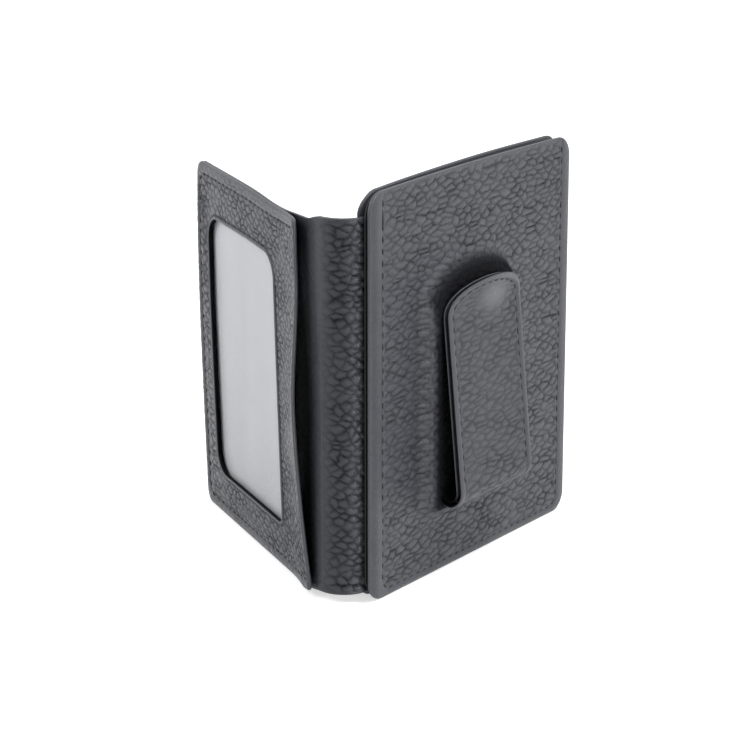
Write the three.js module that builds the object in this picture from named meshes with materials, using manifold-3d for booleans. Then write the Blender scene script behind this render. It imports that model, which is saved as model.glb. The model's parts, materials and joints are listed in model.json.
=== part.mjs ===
// Money clip wallet: a leather bifold that stands open on its lower edge with its spine upright.
// Millimetres, +Z up. The clip half lies along +X from the spine and its outer face looks towards -Y.
// The origin is the middle of the clip panel's lower edge.
import * as THREE from 'three';
import { mergeVertices } from 'three/addons/utils/BufferGeometryUtils.js';
import Module from 'manifold-3d';

const wasm = await Module();
wasm.setup();

// Sheet thicknesses and the room between sheets
const panelLeather = 1.2;
const coverLeather = 1.2;
const pocketLeather = 0.8;
const frameLeather = 1.1;
const boardThickness = 0.6;
const liningThickness = 0.4;
const filmThickness = 0.25;
const layerGap = 0.2;
const tongueSlack = 0.2;
const edgeGap = 0.3;

// Clip half
const panelWidth = 97;
const panelHeight = 110;
const panelCorner = 5.5;
const boardMargin = 2;
const liningMargin = 1;
const weltWidth = 6;
const backLipInset = 1.4;

// Seams: distance in from the edge of the leather, and the thread itself
const panelSeamSpine = 5.8;
const panelSeamOuter = 4.2;
const panelSeamBottom = 2.1;
const panelSeamTop = 2.4;
const frameSeam = 3.1;
const frameSeamOuter = 2.2;
const seamCorner = 3.5;
const leafSeam = 2.3;
const threadWidth = 0.5;
const threadDepth = 0.35;
const threadProud = 0.1;
const threadRoom = 0.15;

// Card slots inside the clip half
const slotSpineMargin = 3;
const slotOuterMargin = 1.5;
const slotBottom = 1.5;
const slotFrontTop = 58;
const slotStep = 12;
const slotCorner = 3;

// Spine: a curve of leather between the two halves
const spineRadius = 8;
const spineTuck = 3.2;
const foldOverhang = 0.6;
const foldGap = 0.8;
const tongueReach = 14;
const openAngle = THREE.MathUtils.degToRad(57.5);
const spineLiningEnd = THREE.MathUtils.degToRad(8);

// Cover with the window
const coverWidth = 87;
const coverBottom = 2.2;
const coverTopDrop = 6.4;
const coverCorner = 3;
const windowOuterMargin = 9.2;
const windowSpineMargin = 25.3;
const windowBottomMargin = 12;
const windowTopMargin = 13;
const windowCorner = 6.3;
const filmOverlap = 4;
const pocketLiningOverlap = 6;
const frameFreeEdge = 3.5;
const mouthBow = 3.4;
const innerSpineMargin = 5;
const innerTopMargin = 4;
const slipSpineMargin = 14;
const slipTopMargin = 6;
const slipStep = 12;

// Clip: a flat spring bent into a U, its fixed leaf under the panel leather
const clipCentre = 44.6;
const leafWidth = 35.2;
const leafLength = 46.4;
const leafTipRise = 8;
const leafTipGap = 0.5;
const leafLeather = 0.7;
const leafBacking = 0.4;
const flareRadius = 15;
const flareTurn = THREE.MathUtils.degToRad(39);
const flareSpare = THREE.MathUtils.degToRad(3);
const springWidth = 28;
const springThickness = 0.4;
const springRoom = 0.15;
const bendRadius = 3.65;
const bendHeight = 24.95;
const bendGap = 0.6;
const bendTuck = 2.1;
const bendTaper = 1;
const slitRoom = 0.35;
const plateauHeight = 3.9;
const plateauSlope = 1;
const plateauRim = 0.9;
const plateauTopMargin = 2.8;
const plateauCorner = 3;
const baseTopMargin = 4;

// How finely round stretches are divided
const cornerSegments = 3;
const bendSegments = 6;
const spineSegments = 8;
const mouthColumns = 22;
const mouthRows = 14;

// Places of the sheets of the clip half, counted from its outer face along +Y
const boardFront = panelLeather + layerGap;
const liningFront = boardFront + boardThickness + layerGap;
const liningBack = liningFront + liningThickness;
const tongueFront = liningBack + tongueSlack;
const tongueBack = tongueFront + coverLeather;
const backFront = tongueBack + layerGap;
const slotFirst = backFront + panelLeather + layerGap;
const slotPitch = pocketLeather + layerGap;

// Plan of the spine's curve
const spineCentre = new THREE.Vector2(spineTuck, tongueFront + spineRadius);
const spineMiddle = spineRadius - coverLeather / 2;
const spineTurn = Math.PI - openAngle;
const firstFold = Math.asin((spineTuck + foldOverhang) / spineMiddle);
const coverTop = panelHeight - coverTopDrop;
const coverHeight = coverTop - coverBottom;

// Places of the sheets of the cover, counted from its outer face, outwards above zero
const pocketLiningInner = layerGap;
const filmInner = pocketLiningInner + liningThickness + layerGap;
const frameInner = filmInner + filmThickness + layerGap;
const frameOuter = frameInner + frameLeather;
const innerLiningInner = -coverLeather - layerGap - liningThickness;
const slipFirst = innerLiningInner - layerGap - pocketLeather;

// Section of the clip
const plateauInner = panelLeather - plateauHeight;
const springMiddle = plateauInner + springRoom + springThickness / 2;
const padFront = springMiddle + springThickness / 2 + springRoom;
const bendCentreY = springMiddle - bendRadius;
const steelInner = bendRadius - springThickness / 2;
const steelOuter = bendRadius + springThickness / 2;
const backingOuter = steelInner - springRoom;
const backingInner = backingOuter - leafBacking;
const coverInner = steelOuter + springRoom;
const coverOuter = coverInner + leafLeather;
const tipMiddleY = -plateauHeight - leafTipGap - leafBacking - springRoom - springThickness / 2;
const leafReach = Math.hypot(leafLength, bendRadius);
const leafTilt = Math.asin((tipMiddleY - bendCentreY) / leafReach) + Math.atan2(bendRadius, leafLength);
const leafTop = bendHeight + (bendRadius + flareRadius) * Math.sin(leafTilt) + leafLength * Math.cos(leafTilt)
  + flareRadius * Math.sin(flareTurn - leafTilt);
const clipReach = 4 * coverOuter;
const bendWidth = leafWidth - 2 * bendTaper;
const plateauTop = leafTop + plateauTopMargin;
const plateauHalf = bendWidth / 2 + plateauRim;
const slitTop = bendHeight + slitRoom;
const slitBottom = bendHeight - Math.sqrt(coverOuter ** 2 - (plateauHeight + bendCentreY) ** 2) - slitRoom;
const splitTurn = bendGap / bendRadius;

// Materials
const leather = () => new THREE.MeshStandardMaterial({ color: 0x2b2b2d, roughness: 0.55, metalness: 0 });
const lining = () => new THREE.MeshStandardMaterial({ color: 0x1d1d1f, roughness: 0.85, metalness: 0 });
const paleLining = () => new THREE.MeshStandardMaterial({ color: 0xc8c8cb, roughness: 0.8, metalness: 0 });
const board = () => new THREE.MeshStandardMaterial({ color: 0x77716a, roughness: 0.9, metalness: 0 });
const steel = () => new THREE.MeshStandardMaterial({ color: 0x9a9da2, roughness: 0.35, metalness: 1 });
const thread = () => new THREE.MeshStandardMaterial({ color: 0x151516, roughness: 0.7, metalness: 0 });
const film = () => new THREE.MeshStandardMaterial({
  color: 0xe6e6e8, roughness: 0.15, metalness: 0, transparent: true, opacity: 0.35,
});

// A closed geometry as a solid that can be joined and cut
function solid(geometry) {
  geometry.deleteAttribute('normal');
  geometry.deleteAttribute('uv');
  const merged = mergeVertices(geometry);
  return new wasm.Manifold(new wasm.Mesh({
    numProp: 3,
    vertProperties: merged.attributes.position.array,
    triVerts: Uint32Array.from(merged.index.array),
  }));
}

// A solid as a named mesh
function piece(name, body, material) {
  const cut = body.getMesh();
  const geometry = new THREE.BufferGeometry();
  geometry.setAttribute('position', new THREE.BufferAttribute(Float32Array.from(cut.vertProperties), 3));
  geometry.setIndex(new THREE.BufferAttribute(Uint32Array.from(cut.triVerts), 1));
  geometry.computeVertexNormals();
  const mesh = new THREE.Mesh(geometry, material);
  mesh.name = name;
  return mesh;
}

// An outline in X and Z, made into a sheet from y = front to y = back
function sheet(outline, front, back, curveSegments = cornerSegments) {
  const geometry = new THREE.ExtrudeGeometry(outline, {
    depth: back - front, bevelEnabled: false, curveSegments,
  });
  return solid(geometry.rotateX(Math.PI / 2).translate(0, back, 0));
}

// An outline in X and Y, made into an upright wall from z = bottom to z = top
function wall(outline, bottom, top) {
  const geometry = new THREE.ExtrudeGeometry(outline, {
    depth: top - bottom, bevelEnabled: false, curveSegments: spineSegments,
  });
  return solid(geometry.translate(0, 0, bottom));
}

// A section in Y and Z, made into a strip of the given width about the clip's centre line
function strip(section, width) {
  const geometry = new THREE.ExtrudeGeometry(section, {
    depth: width, bevelEnabled: false, curveSegments: bendSegments,
  });
  const turned = new THREE.Matrix4().set(
    0, 0, 1, clipCentre - width / 2,
    1, 0, 0, 0,
    0, 1, 0, 0,
    0, 0, 0, 1,
  );
  return solid(geometry.applyMatrix4(turned));
}

function block(left, right, front, back, bottom, top) {
  const geometry = new THREE.BoxGeometry(right - left, back - front, top - bottom);
  return solid(geometry.translate((left + right) / 2, (front + back) / 2, (bottom + top) / 2));
}

function roundedRectangle(left, bottom, right, top, radius) {
  const outline = new THREE.Shape();
  outline.absarc(left + radius, bottom + radius, radius, Math.PI, 1.5 * Math.PI);
  outline.absarc(right - radius, bottom + radius, radius, 1.5 * Math.PI, 2 * Math.PI);
  outline.absarc(right - radius, top - radius, radius, 0, 0.5 * Math.PI);
  outline.absarc(left + radius, top - radius, radius, 0.5 * Math.PI, Math.PI);
  return outline;
}

// A closed line of sewing round a rounded rectangle, as wide as given
function seamRing(left, bottom, right, top, width, front, back) {
  const half = width / 2;
  const radius = seamCorner;
  const outer = roundedRectangle(left - half, bottom - half, right + half, top + half, radius + half);
  const inner = roundedRectangle(left + half, bottom + half, right - half, top - half, radius - half);
  return sheet(outer, front, back).subtract(sheet(inner, front - 1, back + 1));
}

// Outline of the clip's leaf seen from the front, drawn in from its edge
function leafOutline(inset, bottom) {
  const half = leafWidth / 2 - inset;
  const shoulder = leafTop - leafTipRise;
  const outline = new THREE.Shape();
  outline.moveTo(clipCentre - half, bottom);
  outline.lineTo(clipCentre + half, bottom);
  outline.absellipse(clipCentre, shoulder, half, leafTipRise - inset, 0, Math.PI);
  return outline;
}

// Section of the moving leaf between two radii of the bend: half the bend, the straight leaf and the tip's flare
function leafSection(inner, outer) {
  const start = -0.5 * Math.PI;
  const end = -Math.PI - leafTilt;
  const reach = bendRadius + flareRadius;
  const flareY = bendCentreY + leafLength * Math.sin(leafTilt) - reach * Math.cos(leafTilt);
  const flareZ = bendHeight + leafLength * Math.cos(leafTilt) + reach * Math.sin(leafTilt);
  const flareEnd = flareTurn + flareSpare - leafTilt;
  const section = new THREE.Shape();
  section.absarc(bendCentreY, bendHeight, outer, start, end, true);
  section.absarc(flareY, flareZ, reach - outer, -leafTilt, flareEnd, false);
  section.absarc(flareY, flareZ, reach - inner, flareEnd, -leafTilt, true);
  section.absarc(bendCentreY, bendHeight, inner, end, start, false);
  return section;
}

// Section of the fixed part of the bend between two radii, turned in as far as the given angle
function bendSection(inner, outer, turn) {
  const start = -0.5 * Math.PI + splitTurn;
  const end = -0.5 * Math.PI + turn;
  const section = new THREE.Shape();
  section.absarc(bendCentreY, bendHeight, outer, start, end, false);
  section.absarc(bendCentreY, bendHeight, inner, end, start, true);
  return section;
}

// Plan of a curved sheet in the spine, between two angles counted from the clip half
function spineSection(inner, outer, start, end) {
  const from = -0.5 * Math.PI - start;
  const to = -0.5 * Math.PI - end;
  const section = new THREE.Shape();
  section.absarc(spineCentre.x, spineCentre.y, outer, from, to, true);
  section.absarc(spineCentre.x, spineCentre.y, inner, to, from, false);
  return section;
}

// Clip half: sheets from the outside in
function clipPanelSeam(width, front, back) {
  const ring = seamRing(panelSeamSpine, panelSeamBottom, panelWidth - panelSeamOuter,
    panelHeight + panelCorner, width, front, back);
  const top = panelHeight - panelSeamTop + width / 2;
  return ring.subtract(block(0, panelWidth, front - 1, back + 1, top, panelHeight * 2));
}

// Outline of the bed behind the raised field, drawn in from the room round the spring
function bedOutline(inset, bottom) {
  const half = springWidth / 2 + springRoom - inset;
  const outline = new THREE.Shape();
  outline.moveTo(clipCentre - half, bottom);
  outline.lineTo(clipCentre + half, bottom);
  outline.absellipse(clipCentre, plateauTop - leafTipRise, half, leafTipRise - baseTopMargin + springRoom - inset,
    0, Math.PI);
  return outline;
}

function clipPanelLeather() {
  const outline = roundedRectangle(0, 0, panelWidth, panelHeight, panelCorner);
  const foot = slitBottom - plateauRim;
  const raised = new THREE.Shape();
  raised.absarc(clipCentre - plateauHalf + plateauCorner, foot + plateauCorner, plateauCorner, Math.PI, 1.5 * Math.PI);
  raised.absarc(clipCentre + plateauHalf - plateauCorner, foot + plateauCorner, plateauCorner,
    1.5 * Math.PI, 2 * Math.PI);
  raised.absellipse(clipCentre, plateauTop - leafTipRise, plateauHalf, leafTipRise, 0, Math.PI);
  const plateau = new THREE.ExtrudeGeometry(raised, {
    depth: layerGap / 2,
    bevelThickness: plateauHeight,
    bevelSize: plateauSlope,
    bevelSegments: 1,
    curveSegments: bendSegments,
  }).rotateX(Math.PI / 2).translate(0, layerGap / 2, 0);
  const slitHalf = bendWidth / 2 + slitRoom;
  const slit = block(clipCentre - slitHalf, clipCentre + slitHalf, -panelLeather - plateauHeight,
    2 * panelLeather, slitBottom, slitTop);
  return sheet(outline, 0, panelLeather)
    .add(solid(plateau).intersect(block(0, panelWidth, -clipReach, panelLeather, 0, panelHeight)))
    .subtract(sheet(bedOutline(0, slitBottom), plateauInner, 2 * panelLeather, bendSegments))
    .subtract(slit)
    .subtract(clipPanelSeam(threadWidth + 2 * threadRoom, -threadProud - 1, threadDepth + threadRoom));
}

function clipPanelBoard() {
  const outline = roundedRectangle(panelSeamSpine + boardMargin, panelSeamBottom + boardMargin,
    panelWidth - panelSeamOuter - boardMargin, panelHeight - panelSeamTop - boardMargin, panelCorner);
  const pad = bedOutline(springRoom, slitTop + springRoom);
  return sheet(outline, boardFront, boardFront + boardThickness)
    .add(sheet(pad, padFront, boardFront + boardThickness / 2, bendSegments));
}

function clipPanelLining() {
  const outline = roundedRectangle(liningMargin, liningMargin, panelWidth - liningMargin,
    panelHeight - liningMargin, panelCorner);
  return sheet(outline, liningFront, liningBack);
}

function clipSpringBase() {
  const section = new THREE.Shape();
  const start = -0.5 * Math.PI + splitTurn;
  const top = plateauTop - baseTopMargin;
  section.absarc(bendCentreY, bendHeight, steelOuter, start, 0, false);
  section.lineTo(bendCentreY + steelOuter, top);
  section.lineTo(bendCentreY + steelInner, top);
  section.absarc(bendCentreY, bendHeight, steelInner, 0, start, true);
  return strip(section, springWidth)
    .intersect(sheet(bedOutline(springRoom, 0), -clipReach, 2 * panelLeather, bendSegments));
}

function clipBendLeather() {
  const turn = Math.asin((bendTuck - plateauHeight - bendCentreY) / coverOuter);
  return strip(bendSection(coverInner, coverOuter, turn), bendWidth);
}

function clipBendBacking() {
  return strip(bendSection(backingInner, backingOuter, 0.5 * Math.PI), springWidth);
}

function spineTongue() {
  const end = -0.5 * Math.PI - firstFold + foldGap / spineMiddle;
  const section = new THREE.Shape();
  section.moveTo(tongueReach, tongueBack);
  section.lineTo(tongueReach, tongueFront);
  section.absarc(spineCentre.x, spineCentre.y, spineRadius, -0.5 * Math.PI, end, true);
  section.absarc(spineCentre.x, spineCentre.y, spineRadius - coverLeather, end, -0.5 * Math.PI, false);
  return wall(section, coverBottom, coverTop);
}

const weltFront = liningBack + layerGap;
const weltBack = backFront - layerGap;

function pocketBottomWelt() {
  const outline = new THREE.Shape();
  outline.moveTo(tongueReach + edgeGap, weltWidth);
  outline.lineTo(tongueReach + edgeGap, 0);
  outline.absarc(panelWidth - panelCorner, panelCorner, panelCorner, 1.5 * Math.PI, 2 * Math.PI);
  outline.lineTo(panelWidth, weltWidth);
  return sheet(outline, weltFront, weltBack);
}

function pocketSideWelt() {
  const top = panelHeight - panelCorner - edgeGap;
  return block(panelWidth - weltWidth, panelWidth, weltFront, weltBack, weltWidth + edgeGap, top);
}

// The back panel clears the curve of the spine, and reaches on towards the edge only above it
function pocketBackLeather() {
  const back = backFront + panelLeather;
  const outline = roundedRectangle(backLipInset, 0, panelWidth, panelHeight, panelCorner);
  const spineRoom = block(-spineTuck, spineTuck, backFront - 1, back + 1, -1, coverTop + edgeGap);
  return sheet(outline, backFront, back).subtract(spineRoom);
}

// Card slots: the rear one is the tallest, and each one in front of it is a step lower
function cardSlot(step) {
  const front = slotFirst + step * slotPitch;
  const top = slotFrontTop + (slotNames.length - 1 - step) * slotStep;
  const outline = roundedRectangle(spineTuck + slotSpineMargin, slotBottom,
    panelWidth - slotOuterMargin, top, slotCorner);
  return sheet(outline, front, front + pocketLeather);
}

const slotNames = ['card_slot_rear', 'card_slot_middle', 'card_slot_front'];

// Spine
function spineLeather() {
  const section = spineSection(spineRadius - coverLeather, spineRadius, firstFold, spineTurn);
  return wall(section, coverBottom, coverTop);
}

function spineLining() {
  const outer = spineRadius - coverLeather - layerGap;
  const section = spineSection(outer - liningThickness, outer, firstFold + spineLiningEnd,
    spineTurn - spineLiningEnd);
  return wall(section, coverBottom + liningMargin, coverTop - liningMargin);
}

// Cover: X runs from the second fold to the free edge, Y outwards
function coverSheet(left, inset, topMargin, inner, outer) {
  const outline = roundedRectangle(left, coverBottom + inset, coverWidth - inset, coverTop - topMargin, coverCorner);
  return sheet(outline, inner, outer);
}

function windowSheet(growth, inner, outer) {
  const outline = roundedRectangle(windowSpineMargin - growth, coverBottom + windowBottomMargin - growth,
    coverWidth - windowOuterMargin + growth, coverTop - windowTopMargin + growth, windowCorner);
  return sheet(outline, inner, outer, bendSegments);
}

// How far the frame bows away from the cover at a point: a flat arch along its free edge
function mouthLift(x, z) {
  const across = THREE.MathUtils.clamp((windowSpineMargin - x) / (windowSpineMargin - frameFreeEdge), 0, 1);
  const half = coverHeight / 2 - frameSeam;
  const fromMiddle = Math.min(Math.abs(z - coverBottom - coverHeight / 2) / half, 1);
  return mouthBow * across ** 2 * (1 - fromMiddle ** 4);
}

function frameSeamLine(width, inner, outer) {
  const ring = seamRing(-coverWidth, coverBottom + frameSeam, coverWidth - frameSeamOuter, coverTop - frameSeam,
    width, inner, outer);
  const start = frameFreeEdge + frameSeam - width / 2;
  return ring.subtract(block(-2 * coverWidth, start, inner - 1, outer + 1, 0, panelHeight));
}

function frameLeatherSolid() {
  const width = coverWidth - frameFreeEdge;
  const blank = new THREE.BoxGeometry(width, frameLeather, coverHeight, mouthColumns, 1, mouthRows)
    .translate(frameFreeEdge + width / 2, (frameInner + frameOuter) / 2, coverBottom + coverHeight / 2);
  const points = blank.attributes.position;
  for (let i = 0; i < points.count; i += 1) {
    points.setY(i, points.getY(i) + mouthLift(points.getX(i), points.getZ(i)));
  }
  const reach = frameOuter + 2 * mouthBow;
  const groove = frameSeamLine(threadWidth + 2 * threadRoom, frameOuter - threadDepth - threadRoom, reach);
  return solid(blank)
    .intersect(coverSheet(frameFreeEdge - coverCorner, 0, 0, 0, reach))
    .subtract(windowSheet(0, 0, reach))
    .subtract(groove);
}

// Moving leaf of the clip
function leafSpring() {
  const inset = (leafWidth - springWidth) / 2;
  return strip(leafSection(steelInner, steelOuter), springWidth)
    .intersect(sheet(leafOutline(inset, 0), -clipReach, 0, bendSegments));
}

function leafSeamBand(width, inner, outer) {
  const low = bendHeight + coverOuter;
  const band = sheet(leafOutline(leafSeam - width / 2, low), -clipReach, 0, bendSegments)
    .subtract(sheet(leafOutline(leafSeam + width / 2, 0), -2 * clipReach, 1, bendSegments));
  return strip(leafSection(inner, outer), leafWidth).intersect(band);
}

function leafLeatherSolid() {
  const inset = (leafWidth - springWidth) / 2 - springRoom;
  const bed = strip(leafSection(0.5 * backingOuter, coverInner), leafWidth)
    .intersect(sheet(leafOutline(inset, 0), -clipReach, 0, bendSegments));
  return strip(leafSection(steelInner, coverOuter), leafWidth)
    .intersect(sheet(leafOutline(0, 0), -clipReach, 0, bendSegments))
    .subtract(bed)
    .subtract(leafSeamBand(threadWidth + 2 * threadRoom, coverOuter - threadDepth - threadRoom, coverOuter + 1));
}

function leafBackingSolid() {
  return strip(leafSection(backingInner, backingOuter), leafWidth)
    .intersect(sheet(leafOutline(0, 0), -clipReach, 0, bendSegments));
}

// Assembly
const wallet = new THREE.Group();
wallet.position.set(-panelWidth / 2, -panelLeather / 2, 0);

wallet.add(
  piece('clip_panel_leather', clipPanelLeather(), leather()),
  piece('clip_panel_board', clipPanelBoard(), board()),
  piece('clip_panel_lining', clipPanelLining(), lining()),
  piece('clip_panel_thread', clipPanelSeam(threadWidth, -threadProud, threadDepth), thread()),
  piece('clip_spring_base', clipSpringBase(), steel()),
  piece('clip_bend_leather', clipBendLeather(), leather()),
  piece('clip_bend_backing', clipBendBacking(), leather()),
  piece('spine_tongue', spineTongue(), leather()),
  piece('pocket_bottom_welt', pocketBottomWelt(), leather()),
  piece('pocket_side_welt', pocketSideWelt(), leather()),
  piece('pocket_back_leather', pocketBackLeather(), leather()),
);
slotNames.forEach((name, step) => wallet.add(piece(name, cardSlot(step), leather())));

wallet.add(
  piece('spine_leather', spineLeather(), leather()),
  piece('spine_lining', spineLining(), lining()),
);

const cover = new THREE.Group();
cover.position.set(
  spineCentre.x - spineRadius * Math.sin(openAngle),
  spineCentre.y + spineRadius * Math.cos(openAngle),
  0,
);
cover.rotation.z = openAngle;
cover.add(
  piece('id_cover_leather', coverSheet(foldGap, 0, 0, -coverLeather, 0), leather()),
  piece('id_pocket_lining',
    windowSheet(pocketLiningOverlap, pocketLiningInner, pocketLiningInner + liningThickness), paleLining()),
  piece('id_window_film', windowSheet(filmOverlap, filmInner, filmInner + filmThickness), film()),
  piece('id_frame_leather', frameLeatherSolid(), leather()),
  piece('id_frame_thread', frameSeamLine(threadWidth, frameOuter - threadDepth, frameOuter + threadProud), thread()),
  piece('id_inner_lining',
    coverSheet(innerSpineMargin, liningMargin, innerTopMargin, innerLiningInner, innerLiningInner + liningThickness),
    lining()),
);
['id_slip_pocket_rear', 'id_slip_pocket_front'].forEach((name, step) => {
  const inner = slipFirst - step * slotPitch;
  const left = slipSpineMargin + step * slipStep;
  const pocket = coverSheet(left, liningMargin, slipTopMargin, inner, inner + pocketLeather);
  cover.add(piece(name, pocket, leather()));
});
wallet.add(cover);

wallet.add(
  piece('clip_leaf_spring', leafSpring(), steel()),
  piece('clip_leaf_leather', leafLeatherSolid(), leather()),
  piece('clip_leaf_backing', leafBackingSolid(), leather()),
  piece('clip_leaf_thread', leafSeamBand(threadWidth, coverOuter - threadDepth, coverOuter + threadProud), thread()),
);

export default wallet;
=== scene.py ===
"""Looks of a leather money clip wallet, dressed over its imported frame.

Each piece of leather is cut flat, with x across it, y up it and z out of its grain side. It gets its rim,
its pebbled grain and its seams while it is flat, and is then laid on the clip half, round the spine,
on the window cover or round the bend of the clip.
"""

import json
import math

import bmesh
import bpy
from bpy.props import FloatProperty, FloatVectorProperty, IntProperty, PointerProperty
from mathutils import Matrix, Vector, noise


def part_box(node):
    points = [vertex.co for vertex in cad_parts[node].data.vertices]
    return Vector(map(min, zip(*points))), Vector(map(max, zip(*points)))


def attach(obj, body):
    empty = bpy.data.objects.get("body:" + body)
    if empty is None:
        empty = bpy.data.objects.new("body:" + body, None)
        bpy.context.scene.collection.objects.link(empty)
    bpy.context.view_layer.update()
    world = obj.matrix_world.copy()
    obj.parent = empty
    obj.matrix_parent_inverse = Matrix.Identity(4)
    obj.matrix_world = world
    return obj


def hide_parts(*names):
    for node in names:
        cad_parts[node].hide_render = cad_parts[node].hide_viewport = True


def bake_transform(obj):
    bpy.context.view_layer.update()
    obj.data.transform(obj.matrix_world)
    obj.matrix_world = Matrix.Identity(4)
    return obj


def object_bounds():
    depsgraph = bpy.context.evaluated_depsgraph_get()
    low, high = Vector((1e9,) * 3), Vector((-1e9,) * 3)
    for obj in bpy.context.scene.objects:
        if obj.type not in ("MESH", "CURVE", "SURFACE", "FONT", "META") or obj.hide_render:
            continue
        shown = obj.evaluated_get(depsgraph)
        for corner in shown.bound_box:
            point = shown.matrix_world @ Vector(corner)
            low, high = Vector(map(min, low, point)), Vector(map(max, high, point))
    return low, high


bl_info = {
    "name": "Money clip wallet",
    "version": (1, 0, 0),
    "blender": (4, 5, 0),
    "location": "3D View > Sidebar > Wallet",
    "description": "Leather, linings, sewing and stage of a bifold wallet with a money clip",
    "category": "Object",
}

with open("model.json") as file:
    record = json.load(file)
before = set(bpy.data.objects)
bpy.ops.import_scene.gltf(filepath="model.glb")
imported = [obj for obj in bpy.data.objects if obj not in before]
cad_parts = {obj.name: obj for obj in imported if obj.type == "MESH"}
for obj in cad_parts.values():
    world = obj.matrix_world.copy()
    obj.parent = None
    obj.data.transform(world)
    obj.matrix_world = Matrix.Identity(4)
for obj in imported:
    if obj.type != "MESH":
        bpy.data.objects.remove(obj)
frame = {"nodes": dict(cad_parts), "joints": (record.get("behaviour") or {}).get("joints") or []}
CAD_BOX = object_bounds()
JOINTS = {joint["name"]: joint for joint in frame["joints"]}
QUARTER = math.pi / 2
HAIR = 1e-9

# Without a seed, the vectors of noise differ from run to run
GRAIN_SEED = 7
noise.seed_set(GRAIN_SEED)


def length(title, text, millimetres):
    """A size that a user may change, given in millimetres and kept in metres."""
    metres = millimetres / 1000
    return FloatProperty(name=title, description=text, default=metres, unit="LENGTH", precision=5)


def angle(title, text, degrees):
    """An angle that a user may change, given in degrees."""
    return FloatProperty(name=title, description=text, default=math.radians(degrees), subtype="ANGLE")


def share(title, text, value):
    """A plain number that a user may change."""
    return FloatProperty(name=title, description=text, default=value)


def colour(title, text, value):
    """A colour that a user may change."""
    return FloatVectorProperty(name=title, description=text, default=value, size=3, subtype="COLOR")


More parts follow.
